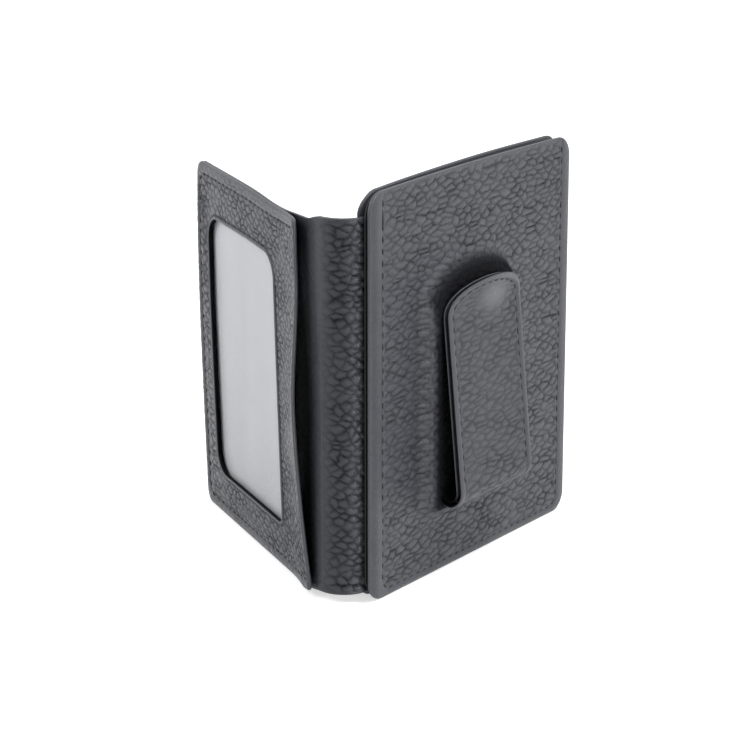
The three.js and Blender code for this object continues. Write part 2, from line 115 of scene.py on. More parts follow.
class WalletSizes(bpy.types.PropertyGroup):
    """Sizes of the leather, the sewing and the bends, beside those that the frame gives."""

    panel_leather: length("Panel leather", "Thickness of the clip half's two panels", 1.2)
    cover_leather: length("Cover leather", "Thickness of the spine and cover leather", 1.2)
    frame_leather: length("Frame leather", "Thickness of the window frame", 1.1)
    leaf_leather: length("Clip leather", "Thickness of the clip's cover", 0.7)
    leaf_backing: length("Clip backing", "Thickness of the clip's backing", 0.4)
    rim_round: length("Rim", "Radius of a leather edge", 0.5)
    panel_corner: length("Panel corner", "Corner radius of the clip half", 5.5)
    slot_corner: length("Slot corner", "Corner radius of a card slot", 3)
    cover_corner: length("Cover corner", "Corner radius of the window cover", 3)
    free_corner: length("Free corner", "Corner radius at the frame's free edge", 1.2)
    window_corner: length("Window corner", "Corner radius of the window", 6.3)
    sharp_corner: length("Sharp corner", "Radius of the window's lower corner beside the spine", 2.2)
    window_drift: length("Window drift", "How far the window's foot has slid towards the spine", 3.2)
    film_overlap: length("Film overlap", "How far the film reaches under the frame", 5)
    seam_corner: length("Seam corner", "Corner radius of a seam", 3.5)
    seam_inset: length("Seam inset", "Distance of a clip, slot or slip pocket seam from its edge", 2.3)
    mouth_bow: length("Mouth", "How far the frame's free edge bows out", 3.4)
    mouth_seam: length("Mouth ends", "Distance from the cover's ends where the bow starts", 3.1)
    mouth_slant: length("Mouth slant", "How much the free edge draws back from bottom to top", 3.2)
    mouth_top: share("Mouth top", "Share of the bow that is left at the upper end", 0.4)
    lip_rise: length("Lip rise", "How far the frame rises to the window's edge", 0.35)
    cover_lean: length("Cover lean", "How far the foot of the soft cover draws in", 1.4)
    cover_sag: length("Cover sag", "How far the cover's upper edge sinks", 1.8)
    cover_foot: length("Cover foot", "How far the cover's lower edge sinks beside the spine", 1.3)
    cover_drop: length("Cover drop", "How much further its lower edge sinks at the free end", 0.8)
    cover_belly: length("Cover belly", "How far the cover's free end bows out", 0.8)
    cover_pinch: length("Cover pinch", "How far the cover is drawn up to the frame at a sewn edge", 1.0)
    lean_start: length("Lean start", "Distance from the fold where the lean is full", 20)
    cover_dip: length("Cover dip", "How much further the upper edge sinks at its lowest place", 0.8)
    dip_place: length("Dip place", "Distance of that place from the fold", 25)
    dip_width: length("Dip width", "How far to each side it reaches", 14)
    sag_start: length("Sag start", "Distance from the fold where the sag is full", 6)
    sag_lead: length("Sag lead", "Distance before the fold where the sag begins", 3)
    edge_dip: length("Edge dip", "How far the frame is drawn down to the cover at a sewn edge", 1.35)
    edge_dip_width: length("Edge dip width", "How far in from a sewn edge that goes", 5)
    skive: share("Skive", "Share of the cover's thickness that is pared away at its edge", 0.4)
    skive_width: length("Skive width", "How far in from the edge the paring goes", 4)
    back_pinch: length("Back pinch", "How far the back panel's upper corner is drawn to the front", 1.3)
    back_sink: length("Back sink", "How far that corner sinks", 0.2)
    top_bow: length("Top bow", "How far the pocket's upper edge bows up", 0.6)
    spine_radius: length("Spine radius", "Outer radius of the spine", 8)
    spine_tuck: length("Spine tuck", "How far the spine's curve reaches behind the clip half", 3.2)
    bend_radius: length("Bend radius", "Middle radius of the clip's spring", 3.65)
    bend_taper: length("Bend taper", "How much the clip narrows at each side of its slit", 1)
    leaf_length: length("Leaf length", "Straight length of the clip's leaf", 46.4)
    leaf_tilt: angle("Leaf tilt", "How far the leaf leans to the panel", 5.544)
    leaf_tip: length("Leaf tip", "Rise of the leaf's oval tip", 8.5)
    # Place of a painted highlight beside the clip's tip, where the grain is smoothed too.
    sheen_aside: length("Sheen aside", "Distance of the rubbed place from the clip's middle line", 4.5)
    sheen_below: length("Sheen below", "Distance of the rubbed place from the tip", 7)
    sheen_width: length("Sheen width", "Reach of the rubbed place to each side", 6)
    sheen_height: length("Sheen height", "Reach of the rubbed place up and down", 4)
    flare_radius: length("Flare radius", "Radius of the flare at the leaf's tip", 15)
    plateau_height: length("Plateau", "Height of the field over the hidden spring", 3.9)
    plateau_slope: length("Plateau slope", "Width over which the leather rises to that field", 5)
    plateau_rim: length("Plateau rim", "Reach of the field past the clip", 1.4)
    plateau_corner: length("Plateau corner", "Lower corner radius of the field", 1.2)
    plateau_tip: length("Plateau tip", "Rise of the field's oval upper end", 8)
    plateau_margin: length("Plateau margin", "Reach of the field above the spring's end", 4)
    wrinkle_width: length("Wrinkle width", "Size of a wrinkle across the field's edge", 0.9)
    wrinkle_length: length("Wrinkle length", "Size of a wrinkle along the field's edge", 3)
    wrinkle_reach: length("Wrinkle reach", "How far round that edge the leather is wrinkled", 2.2)
    slit_room: length("Slit room", "Room round the clip in its slit", 0.12)
    slit_ramp: length("Slit ramp", "Width over which the slit's edge turns in", 0.5)
    slit_depth: length("Slit depth", "Depth that shows of the slit", 2.1)
    grain_across: length("Grain across", "Distance from pebble to pebble across the leather", 5)
    grain_up: length("Grain up", "Distance from row to row of pebbles up the leather", 1.45)
    grain_depth: length("Grain depth", "Depth of the creases between pebbles", 0.42)
    crease_share: share("Crease share", "Share of a pebble over which it rounds down to its crease", 0.42)
    crease_fade: share("Crease fade", "How much shallower the creases are that run up the leather", 0.05)
    # Painted shade that darkens the creases of the grain.
    crease_shade_share: share("Crease tone", "How much darker the leather is in a crease", 0.92)
    grain_warp: share("Grain warp", "How unevenly the pebbles are shaped", 0.5)
    wave_size: length("Wave size", "Size of the leather's slow unevenness", 17)
    wave_depth: length("Wave depth", "Height of the leather's slow unevenness", 0.12)
    fine_cell: length("Fine cell", "Mesh size of the outer leather", 0.37)
    inner_cell: length("Inner cell", "Mesh size of the inner leather", 0.62)
    plain_cell: length("Plain cell", "Mesh size of smooth sheets", 2)
    stitch_pitch: length("Stitch pitch", "Length of a stitch and its gap", 3.15)
    stitch_length: length("Stitch", "Length of thread that shows", 1.7)
    long_stitch: length("Long stitch", "Length of the stitch that ends the seam beside the spine", 5.5)
    thread_width: length("Thread", "Thickness of the thread", 0.5)
    seam_groove: length("Seam groove", "How deep a seam pulls the leather in", 0.22)
    seam_width: length("Seam width", "Half the width of that pull", 0.45)
    # Painted shade on the edge band of the clip half beside the spine.
    band_shade: share("Band tone", "How much darker the edge band beside the spine is", 0.25)
    band_width: length("Band width", "Width of that band", 3)
    band_puff: length("Band puff", "How far the edge band outside a seam swells", 0.22)
    rim_steps: IntProperty(name="Rim steps", description="Rows of faces round a rim", default=4)


class WalletColours(bpy.types.PropertyGroup):
    """Colours of the leather, the linings, the film and the stage."""

    leather: colour("Leather", "Top of the grain", (0.058, 0.0605, 0.072))
    # The crease colour is painted shade at the bottom of the grain, and the dark fibres of a burnished
    # edge.
    crease: colour("Crease", "Bottom of the grain", (0.006, 0.006, 0.007))
    thread: colour("Thread", "Sewing thread", (0.009, 0.009, 0.010))
    dark_lining: colour("Dark lining", "Woven lining", (0.018, 0.018, 0.020))
    pale_lining: colour("Pale lining", "Lining behind the window", (0.47, 0.48, 0.50))
    film: colour("Film", "Clear window film", (0.92, 0.92, 0.94))
    board: colour("Board", "Stiffener", (0.30, 0.27, 0.24))
    steel: colour("Steel", "Spring", (0.50, 0.51, 0.53))
    floor: colour("Floor", "Ground that the wallet stands on", (0.82, 0.82, 0.82))


class WalletStage(bpy.types.PropertyGroup):
    """Camera and light."""

    camera_place: FloatVectorProperty(name="Camera", description="Where the camera stands", size=3,
                                      default=(-0.5818, -0.3785, 0.2516),
                                      subtype="TRANSLATION", unit="LENGTH")
    camera_yaw: angle("Camera turn", "Turn of the camera about the vertical", -54.78)
    camera_pitch: angle("Camera pitch", "How far the camera looks down", 16.11)
    camera_lens: FloatProperty(name="Lens", description="Focal length", default=127.3, unit="CAMERA")
    world_level: share("World", "Strength of the even light from all round", 0.16)
    floor_glow: share("Floor glow", "What the camera sees added to the lit floor", 0.6)


def sizes():
    return bpy.context.scene.wallet_sizes


def colours():
    return bpy.context.scene.wallet_colours


def stage_set():
    return bpy.context.scene.wallet_stage


# Plain helpers

def held(value):
    """A value held between 0 and 1."""
    return min(max(value, 0.0), 1.0)


def smooth(value):
    """An even S curve from 0 to 1."""
    part = held(value)
    return part * part * (3 - 2 * part)


def bump_of(distance, width):
    """A round hump that is 1 at no distance and falls away over the width."""
    return math.exp(-((distance / width) ** 2))


class Outline:
    """A rectangle with round or oval corners, in the flat plane of a piece of leather.

    Its corners are pairs of radii, across and up, from the lower left one against the clock.
    """

    def __init__(self, left, right, bottom, top, corners):
        self.left = left
        self.right = right
        self.bottom = bottom
        self.top = top
        self.corners = corners
        self.width = right - left
        self.height = top - bottom
        self.middle = Vector(((left + right) / 2, (bottom + top) / 2))

    def inset(self, by):
        """The outline drawn in by a distance."""
        least = 1e-5
        corners = [(max(across - by, least), max(up - by, least)) for across, up in self.corners]
        return Outline(self.left + by, self.right - by, self.bottom + by, self.top - by, corners)

    def corner(self, index):
        """Centre and radii of one corner."""
        across, up = self.corners[index]
        x = self.left + across if index in (0, 3) else self.right - across
        y = self.bottom + up if index in (0, 1) else self.top - up
        return x, y, across, up

    def from_corner(self, x, y):
        """The nearest corner, and how far a point lies out past its centre in shares of its radii."""
        high = y > self.middle.y
        if x > self.middle.x:
            index = 2 if high else 1
        else:
            index = 3 if high else 0
        centre_x, centre_y, across, up = self.corner(index)
        side = 1 if index in (1, 2) else -1
        rise = 1 if high else -1
        return centre_x, centre_y, across, up, (x - centre_x) * side / across, (y - centre_y) * rise / up

    def round_off(self, point):
        """Moves a point of the plain rectangle so that square corners become round ones."""
        centre_x, centre_y, across, up, out, rise = self.from_corner(point.x, point.y)
        if out <= 0 or rise <= 0:
            return point.xy
        scale = max(out, rise) / math.hypot(out, rise)
        return Vector((centre_x + (point.x - centre_x) * scale, centre_y + (point.y - centre_y) * scale))

    def outward(self, point):
        """Direction out of the outline at a point on it."""
        centre_x, centre_y, across, up, out, rise = self.from_corner(point.x, point.y)
        if out > 0 and rise > 0:
            return Vector(((point.x - centre_x) / across ** 2, (point.y - centre_y) / up ** 2)).normalized()
        gaps = {
            (-1, 0): point.x - self.left,
            (1, 0): self.right - point.x,
            (0, -1): point.y - self.bottom,
            (0, 1): self.top - point.y,
        }
        return Vector(min(gaps, key=gaps.get))

    def depth(self, x, y):
        """Distance in from the outline, below zero outside it."""
        centre_x, centre_y, across, up, out, rise = self.from_corner(x, y)
        if out > 0 and rise > 0:
            reach = math.hypot(out, rise)
            return (1 - reach) * reach / math.hypot(out / across, rise / up)
        return min(x - self.left, self.right - x, y - self.bottom, self.top - y)

    def at(self, turn):
        """A point of the outline: whole numbers from 0 to 7 start each corner and each side in turn."""
        zone = int(turn) % 8
        part = turn - int(turn)
        centre_x, centre_y, across, up = self.corner(zone // 2)
        if zone % 2 == 0:
            angle = math.pi + (zone // 2 + part) * QUARTER
            return Vector((centre_x + across * math.cos(angle), centre_y + up * math.sin(angle)))
        start = self.at(zone - HAIR)
        end = self.at((zone + 1) % 8)
        return start.lerp(end, part)

    def loop(self, first, corner_steps=12):
        """Points round the outline against the clock, from the start of one corner."""
        points = []
        for corner in range(first, first + 4):
            turn = 2 * (corner % 4)
            parts = [step / corner_steps * (1 - HAIR) for step in range(corner_steps + 1)]
            points += [self.at(turn + part) for part in parts]
        return points


def round_corners(*radii):
    """Round corners for an outline: one radius for all four, or one for each."""
    each = radii if len(radii) == 4 else radii * 4
    return [(radius, radius) for radius in each]


def box_outline(low, high, corners):
    """Outline of a flat node from the lowest and highest corner of its box."""
    return Outline(low.x, high.x, low.z, high.z, corners)


def rim_rows(round_radius, thickness, steps):
    """Rows of inset and depth that run over a rounded rim, from the grain side to the back."""
    turns = [QUARTER * step / steps for step in range(steps + 1)]
    back_round = min(round_radius, thickness / 2)
    over = [(round_radius * (1 - math.sin(turn)), round_radius * (math.cos(turn) - 1)) for turn in turns]
    under = [(back_round * (1 - math.cos(turn)), back_round * (1 - math.sin(turn)) - thickness)
             for turn in turns]
    return over + under


# Leather grain

SEEDS = {}
ROW_GAP = 0.62
NEAR_CELLS = [(across, up) for up in (-1, 0, 1) for across in (-1, 0, 1)] + [(-1, 2), (1, -2)]


def seed_of(column, row, layer):
    """The middle of one cell of an uneven net with slanting columns."""
    spread = 0.58
    half = 0.5
    throw = noise.cell_vector(Vector((column + half, row + half, layer + half)))
    x = column + half + (row + half) / 2 + spread * (throw.x - half)
    y = ROW_GAP * (row + half + spread * (throw.y - half))
    return x, y


def seeds_near(column, row, layer):
    """The middles of one cell of that net and of those round it, worked out once."""
    key = (column, row, layer)
    if key not in SEEDS:
        SEEDS[key] = [seed_of(column + across, row + up, layer) for across, up in NEAR_CELLS]
    return SEEDS[key]


def cells(across, up, layer):
    """Rounded cells, one unit from one to the next: 0 in a crease between them and 1 on top of them."""
    look = sizes()
    slow_warp = 0.45
    quick_warp = 1.4
    quick_share = 0.35
    least_depth = 0.72
    patch_size = 0.6
    patch_contrast = 1.2
    place = Vector((across, up, layer))
    warp = noise.noise_vector(place * slow_warp) + noise.noise_vector(place * quick_warp) * quick_share
    x = across + warp.x * look.grain_warp
    row = up + warp.y * look.grain_warp
    y = ROW_GAP * row
    seeds = seeds_near(math.floor(x - row / 2), math.floor(row), layer)
    near_x, near_y = min(seeds, key=lambda seed: (seed[0] - x) ** 2 + (seed[1] - y) ** 2)
    gap = look.crease_share
    for seed_x, seed_y in seeds:
        way_x, way_y = seed_x - near_x, seed_y - near_y
        reach = math.hypot(way_x, way_y)
        if reach > 0:
            middle_x, middle_y = (seed_x + near_x) / 2, (seed_y + near_y) / 2
            ahead = ((middle_x - x) * way_x + (middle_y - y) * way_y) / reach
            gap = min(gap, ahead + look.crease_fade * abs(way_x) / reach)
    patch = smooth(0.5 + patch_contrast * noise.noise(place * patch_size))
    depth = least_depth + (1 - least_depth) * patch
    return 1 - depth * (1 - max(gap, 0) / look.crease_share) ** 2


def pebble(x, y, layer=0.0, across=1.0, up=1.0):
    """Height of the pebbled grain at a flat point, with pebbles larger or smaller than usual."""
    look = sizes()
    return cells(x / (look.grain_across * across), y / (look.grain_up * up), layer)


def wave(x, y, layer=0.0):
    """Slow unevenness of soft leather, in metres."""
    look = sizes()
    at = Vector((x / look.wave_size, y / look.wave_size, layer))
    return look.wave_depth * noise.noise(at)


def crease_shade(strength, low):
    """How pale the leather is at a depth in its grain: painted shade that darkens the creases."""
    fall = 1.35
    return 1 - sizes().crease_shade_share * min(strength, 1) * low ** fall


def rim_fade(edge):
    """0 at the edge of a piece of leather, and 1 where its rim has flattened out."""
    return smooth(edge / (4 * sizes().rim_round))


class Hide:
    """How one piece of leather is worked: its grain, its seam and the band outside that seam."""

    def __init__(self, outline, seam=None, layer=0.0, grain=1.0, across=1.0, up=1.0, puff=1.0, tone=1.0):
        self.outline = outline
        self.seam = seam
        self.layer = layer
        self.grain = grain
        self.across = across
        self.up = up
        self.puff = puff
        self.tone = tone
        self.band_grain = 0.12
        self.uneven = 0.35

    def body(self, x, y):
        """Lift of the leather under its grain, and the strength of that grain, at a flat point."""
        look = sizes()
        edge = self.outline.depth(x, y)
        rim = rim_fade(edge)
        uneven = 1 + self.uneven * noise.noise(Vector((x, y, self.layer)) / look.wave_size)
        strength = self.grain * uneven * self.beside_band(rim)
        lift = wave(x, y, self.layer) * rim
        if self.seam:
            inside = self.seam.depth(x, y)
            strength *= self.beside_band(smooth(inside / (3 * look.seam_width)))
            lift -= look.seam_groove * bump_of(inside, look.seam_width)
            if inside < 0 < edge:
                lift += self.puff * look.band_puff * math.sin(math.pi * edge / (edge - inside))
        return lift, strength

    def beside_band(self, inside):
        """Share of the grain that is left, from that of the edge band at 0 to all of it at 1."""
        return self.band_grain + (1 - self.band_grain) * inside

    def work(self, x, y):
        """How far a flat point of the grain side moves, and how pale its grain is there, with painted shade
        in the creases.
        """
        lift, strength = self.body(x, y)
        low = 1 - pebble(x, y, self.layer, self.across, self.up)
        lift -= sizes().grain_depth * strength * low
        return Vector((0, 0, lift)), self.tone * crease_shade(strength, low)


# Meshes

def to_object(name, mesh_edit, material):
    """Turns an edited mesh into a smooth object that sits at the origin."""
    sharp_angle = math.radians(55)
    mesh = bpy.data.meshes.new(name)
    if mesh_edit.calc_volume(signed=True) < 0:
        bmesh.ops.reverse_faces(mesh_edit, faces=mesh_edit.faces)
    mesh_edit.to_mesh(mesh)
    mesh_edit.free()
    mesh.shade_smooth()
    mesh.set_sharp_from_angle(angle=sharp_angle)
    mesh.materials.append(material)
    made = bpy.data.objects.new(name, mesh)
    bpy.context.scene.collection.objects.link(made)
    return made


def keep_flat_place(mesh_edit):
    """Keeps each point's place on the flat leather as the UV map."""
    layer = mesh_edit.loops.layers.uv.new("flat")
    for face in mesh_edit.faces:
        for corner in face.loops:
            corner[layer].uv = corner.vert.co.xy


def pale_rim(flat):
    """A rim as pale as the grain."""
    return 1.0


def dark_rim(flat):
    """A rim that is dyed dark below its upper edge."""
    dye_depth = 0.0005
    return smooth(1 + flat.z / dye_depth)


def work_and_lay(mesh_edit, work, lay, rim=pale_rim):
    """Works the grain side of a flat piece and lays every point in its place."""
    near_grain_side = -1e-7
    mesh_edit.normal_update()
    bmesh.ops.recalc_face_normals(mesh_edit, faces=mesh_edit.faces)
    # The grain attribute holds each point's tone: the dye of dark rims, painted shade in creases, recesses
    # and gaps, and a painted highlight beside the clip's tip.
    grain = mesh_edit.verts.layers.float.new("grain")
    for vertex in mesh_edit.verts:
        flat = vertex.co.copy()
        vertex[grain] = rim(flat)
        if work and flat.z > near_grain_side:
            moved, vertex[grain] = work(flat.x, flat.y)
            flat += moved
        vertex.co = lay(flat)


def cut_sheet(name, outline, rows, cell, work, lay, material, meshed_back=False, rim_tone=pale_rim):
    """One closed sheet: a grid inside the outline, rows of faces over the rim, and a back."""
    merge_distance = 1e-5
    mesh_edit = bmesh.new()
    inset, thickness = rows[0][0], -rows[-1][1]
    face = outline.inset(inset)
    across = max(round(face.width / cell), 2)
    up = max(round(face.height / cell), 2)
    bmesh.ops.create_grid(mesh_edit, x_segments=across, y_segments=up, size=0.5)
    bmesh.ops.scale(mesh_edit, vec=(face.width, face.height, 1), verts=mesh_edit.verts)
    bmesh.ops.translate(mesh_edit, vec=face.middle.to_3d(), verts=mesh_edit.verts)
    for vertex in mesh_edit.verts:
        vertex.co.xy = face.round_off(vertex.co)
    rim = [edge for edge in mesh_edit.edges if edge.is_boundary]
    if meshed_back:
        copied = bmesh.ops.duplicate(mesh_edit, geom=mesh_edit.faces[:])
        back = [item for item in copied["geom"] if isinstance(item, bmesh.types.BMVert)]
        bmesh.ops.translate(mesh_edit, vec=(0, 0, -thickness), verts=back)
    for step_inset, depth in rows[1:]:
        made = bmesh.ops.extrude_edge_only(mesh_edit, edges=rim)["geom"]
        for vertex in (item for item in made if isinstance(item, bmesh.types.BMVert)):
            vertex.co.xy += outline.outward(vertex.co) * (inset - step_inset)
            vertex.co.z = depth
        rim = [item for item in made if isinstance(item, bmesh.types.BMEdge) and item.is_boundary]
        inset = step_inset
    if meshed_back:
        bmesh.ops.remove_doubles(mesh_edit, verts=mesh_edit.verts[:], dist=merge_distance)
    else:
        bmesh.ops.edgeloop_fill(mesh_edit, edges=rim)
    keep_flat_place(mesh_edit)
    work_and_lay(mesh_edit, work, lay, rim_tone)
    return to_object(name, mesh_edit, material)


def cut_frame(name, outer, window, rows, steps, work, lay, material, rim_tone):
    """A closed ring of leather round a window: a grid that runs round the ring and round its section."""
    merge_distance = 1e-6
    side_steps, corner_steps, face_rows, back_rows = steps
    round_inset, thickness = rows[0][0], -rows[-1][1]
    lip = window.inset(-round_inset)
    edge = outer.inset(round_inset)
    turns = []
    for zone in range(8):
        count = side_steps if zone % 2 else corner_steps
        turns += [zone + part / count for part in range(count)]
    section = [("window", inset, depth) for inset, depth in reversed(rows)]
    section += [("face", row / face_rows, 0.0) for row in range(1, face_rows)]
    section += [("outer", inset, depth) for inset, depth in rows]
    section += [("face", 1 - row / back_rows, -thickness) for row in range(1, back_rows)]
    mesh_edit = bmesh.new()
    bmesh.ops.create_grid(mesh_edit, x_segments=len(turns), y_segments=len(section), size=0.5)
    outlines = {}
    for vertex in mesh_edit.verts:
        column = round((vertex.co.x + 0.5) * len(turns)) % len(turns)
        kind, value, depth = section[round((vertex.co.y + 0.5) * len(section)) % len(section)]
        turn = turns[column]
        if kind == "face":
            flat = lip.at(turn).lerp(edge.at(turn), value)
        else:
            if (kind, value) not in outlines:
                outlines[kind, value] = window.inset(-value) if kind == "window" else outer.inset(value)
            flat = outlines[kind, value].at(turn)
        vertex.co = (flat.x, flat.y, depth)
    bmesh.ops.remove_doubles(mesh_edit, verts=mesh_edit.verts[:], dist=merge_distance)
    keep_flat_place(mesh_edit)
    work_and_lay(mesh_edit, work, lay, rim_tone)
    return to_object(name, mesh_edit, material)


def stitch_marks(points, keep):
    """Places, directions and lengths of the stitches along a line of points, where keep allows them."""
    look = sizes()
    marks = []
    ahead = look.stitch_pitch / 2
    for start, end in zip(points, points[1:]):
        reach = (end - start).length
        while ahead <= reach and reach > 0:
            place = start.lerp(end, ahead / reach)
            if keep(place):
                marks.append((place, (end - start).normalized(), look.stitch_length))
            ahead += look.stitch_pitch
        ahead -= reach
    return marks


def sew(name, marks, lay, material):
    """One run of stitches, each a slanted grain of thread drawn into the leather at both ends."""
    look = sizes()
    slant = math.radians(6)
    sink = 0.25
    flatness = 0.8
    mesh_edit = bmesh.new()
    for place, direction, reach in marks:
        shape = Matrix.Diagonal((reach, look.thread_width, look.thread_width * flatness, 1))
        turn = Matrix.Rotation(math.atan2(direction.y, direction.x) + slant, 4, "Z")
        middle = Matrix.Translation((place.x, place.y, -sink * look.thread_width))
        bmesh.ops.create_uvsphere(mesh_edit, u_segments=8, v_segments=6, radius=0.5,
                                  matrix=middle @ turn @ shape @ Matrix.Rotation(QUARTER, 4, "Y"))
    keep_flat_place(mesh_edit)
    work_and_lay(mesh_edit, None, lay)
    return to_object(name, mesh_edit, material)


# Finishes

NOISE_SPAN = (0.3, 0.7)


class Nodes:
    """Short ways to make and join the nodes of a finish, the floor or the world."""

    def __init__(self, tree):
        self.tree = tree

    def node(self, kind, **values):
        """A new node with its settings and the values of its sockets."""
        made = self.tree.nodes.new(kind)
        for key, value in values.items():
            if hasattr(made, key):
                setattr(made, key, value)
            else:
                made.inputs[key.replace("_", " ").title()].default_value = value
        return made

    def link(self, out_socket, in_socket):
        self.tree.links.new(out_socket, in_socket)

    def range(self, value, source, target):
        """A value carried over from one span to another and held inside it."""
        made = self.node("ShaderNodeMapRange")
        for socket, number in zip(("From Min", "From Max", "To Min", "To Max"), source + target):
            made.inputs[socket].default_value = number
        self.link(value, made.inputs["Value"])
        return made.outputs["Result"]

    def math(self, operation, first, second):
        made = self.node("ShaderNodeMath", operation=operation)
        for socket, value in zip(made.inputs, (first, second)):
            self.link(value, socket)
        return made.outputs["Value"]

    def seen_ray(self):
        """1 for rays that show the background: straight from the camera, by gloss or through film."""
        path = self.node("ShaderNodeLightPath")
        seen = path.outputs["Is Camera Ray"]
        for name in ("Is Glossy Ray", "Is Transmission Ray"):
            seen = self.math("MAXIMUM", seen, path.outputs[name])
        return seen


class Finish(Nodes):
    """A node material with one Principled shader."""

    def __init__(self, name):
        self.material = bpy.data.materials.new(name)
        self.material.use_nodes = True
        super().__init__(self.material.node_tree)
        self.shader = self.tree.nodes["Principled BSDF"]

    def set(self, **values):
        """Sets sockets of the shader that are the same all over."""
        for key, value in values.items():
            self.shader.inputs[key.replace("_", " ")].default_value = value

    def feed(self, name, value):
        """Leads a value to a socket of the shader."""
        self.link(value, self.shader.inputs[name])

    def coordinates(self, kind="UV"):
        """The piece's own coordinates, in millimetres."""
        source = self.node("ShaderNodeTexCoord")
        return self.scaled(source.outputs[kind], (1000, 1000, 1000))

    def scaled(self, where, scale):
        """Coordinates that are stretched or squeezed along their axes."""
        made = self.node("ShaderNodeMapping")
        made.inputs["Scale"].default_value = scale
        self.link(where, made.inputs["Vector"])
        return made.outputs["Vector"]

    def noise(self, where, scale, detail=3.0, roughness=0.55):
        made = self.node("ShaderNodeTexNoise", Scale=scale, Detail=detail, Roughness=roughness)
        self.link(where, made.inputs["Vector"])
        return made.outputs["Fac"]

    def cells(self, where, scale):
        made = self.node("ShaderNodeTexVoronoi", feature="DISTANCE_TO_EDGE", Scale=scale)
        self.link(where, made.inputs["Vector"])
        return made.outputs["Distance"]

    def bands(self, where, direction, scale):
        made = self.node("ShaderNodeTexWave", wave_type="BANDS", bands_direction=direction, Scale=scale)
        self.link(where, made.inputs["Vector"])
        return made.outputs["Fac"]

    def mix(self, share_of_second, first, second):
        """A colour between two."""
        made = self.node("ShaderNodeMix", data_type="RGBA")
        self.link(share_of_second, made.inputs["Factor"])
        colour_sockets = [socket for socket in made.inputs if socket.type == "RGBA"]
        for socket, value in zip(colour_sockets, (first, second)):
            socket.default_value = (*value, 1)
        return [socket for socket in made.outputs if socket.type == "RGBA"][0]

    def bump(self, height, strength, distance):
        made = self.node("ShaderNodeBump", Strength=strength, Distance=distance)
        self.link(height, made.inputs["Height"])
        self.feed("Normal", made.outputs["Normal"])

    def attribute(self, name):
        made = self.node("ShaderNodeAttribute", attribute_name=name)
        return made.outputs["Fac"]


def toned(base, level):
    """A colour made paler or darker."""
    return tuple(level * part for part in base)


def leather_finish(name, roughness):
    """Pebbled leather: painted shade in dark lines where the mesh dips, fine pores and a soft satin gloss.
    """
    finish = Finish(name)
    where = finish.coordinates()
    grain = finish.attribute("grain")
    cloud = finish.noise(where, scale=0.09, detail=4)
    pores = finish.cells(where, scale=1.5)
    dust = finish.noise(where, scale=2.6, detail=4)
    # The grain attribute carries painted shade and the painted highlight into the colour.
    tone = finish.math("MULTIPLY", grain, finish.range(cloud, (0.2, 0.8), (0.85, 1.1)))
    finish.feed("Base Color", finish.mix(tone, colours().crease, colours().leather))
    creased = finish.range(grain, (0.4, 1), (roughness + 0.2, roughness))
    dusty = finish.range(dust, NOISE_SPAN, (-0.1, 0.1))
    finish.feed("Roughness", finish.math("ADD", creased, dusty))
    # Painted shade also takes the gloss out of creases and other shaded places.
    satin = finish.range(grain, (0.2, 0.9), (0.02, 0.4))
    # A grain tone above 1 is the painted highlight beside the clip's tip, which adds gloss.
    highlighted = finish.range(grain, (1, 1.5), (0, 0.6))
    finish.feed("Specular IOR Level", finish.math("ADD", satin, highlighted))
    skin = finish.range(pores, (0, 0.15), (0, 1))
    specks = finish.range(dust, NOISE_SPAN, (0, 0.5))
    finish.bump(finish.math("ADD", skin, specks), strength=0.6, distance=0.00008)
    return finish.material


def thread_finish(name):
    """Bonded thread: two plies that wind along it."""
    finish = Finish(name)
    plies = finish.bands(finish.coordinates(), "DIAGONAL", scale=1.1)
    finish.feed("Base Color", finish.mix(plies, colours().thread, toned(colours().thread, 2.2)))
    finish.bump(plies, strength=0.5, distance=0.0001)
    finish.set(Roughness=0.55)
    return finish.material


def woven_finish(name, kind):
    """Woven lining: threads that cross over and under."""
    finish = Finish(name)
    where = finish.coordinates(kind)
    weave = [finish.bands(where, direction, scale=0.75) for direction in ("X", "Y")]
    height = finish.math("MULTIPLY", *weave)
    base = colours().dark_lining
    finish.feed("Base Color", finish.mix(height, toned(base, 0.4), base))
    finish.bump(height, strength=0.35, distance=0.00008)
    finish.set(Roughness=0.8)
    return finish.material


def pale_finish(name):
    """Smooth pale lining behind the window, with slow upright bands."""
    finish = Finish(name)
    upright = finish.scaled(finish.coordinates(), (1, 0.08, 1))
    bands = finish.range(finish.noise(upright, scale=0.11, detail=1), NOISE_SPAN, (0, 1))
    base = colours().pale_lining
    finish.feed("Base Color", finish.mix(bands, toned(base, 0.93), base))
    finish.set(Roughness=0.6)
    return finish.material


def film_finish(name):
    """Clear film with a faint haze and slow ripples."""
    finish = Finish(name)
    haze = finish.noise(finish.coordinates(), scale=0.05, detail=2)
    finish.feed("Roughness", finish.range(haze, NOISE_SPAN, (0.1, 0.2)))
    finish.feed("Alpha", finish.range(haze, NOISE_SPAN, (0.09, 0.15)))
    finish.bump(haze, strength=0.05, distance=0.0005)
    finish.set(Base_Color=(*colours().film, 1))
    return finish.material


def board_finish(name):
    """Pressed board with flecks of fibre."""
    finish = Finish(name)
    flecks = finish.noise(finish.coordinates("Object"), scale=1.4, detail=5)
    finish.feed("Base Color", finish.mix(flecks, toned(colours().board, 0.6), colours().board))
    finish.bump(flecks, strength=0.2, distance=0.0001)
    finish.set(Roughness=0.9)
    return finish.material


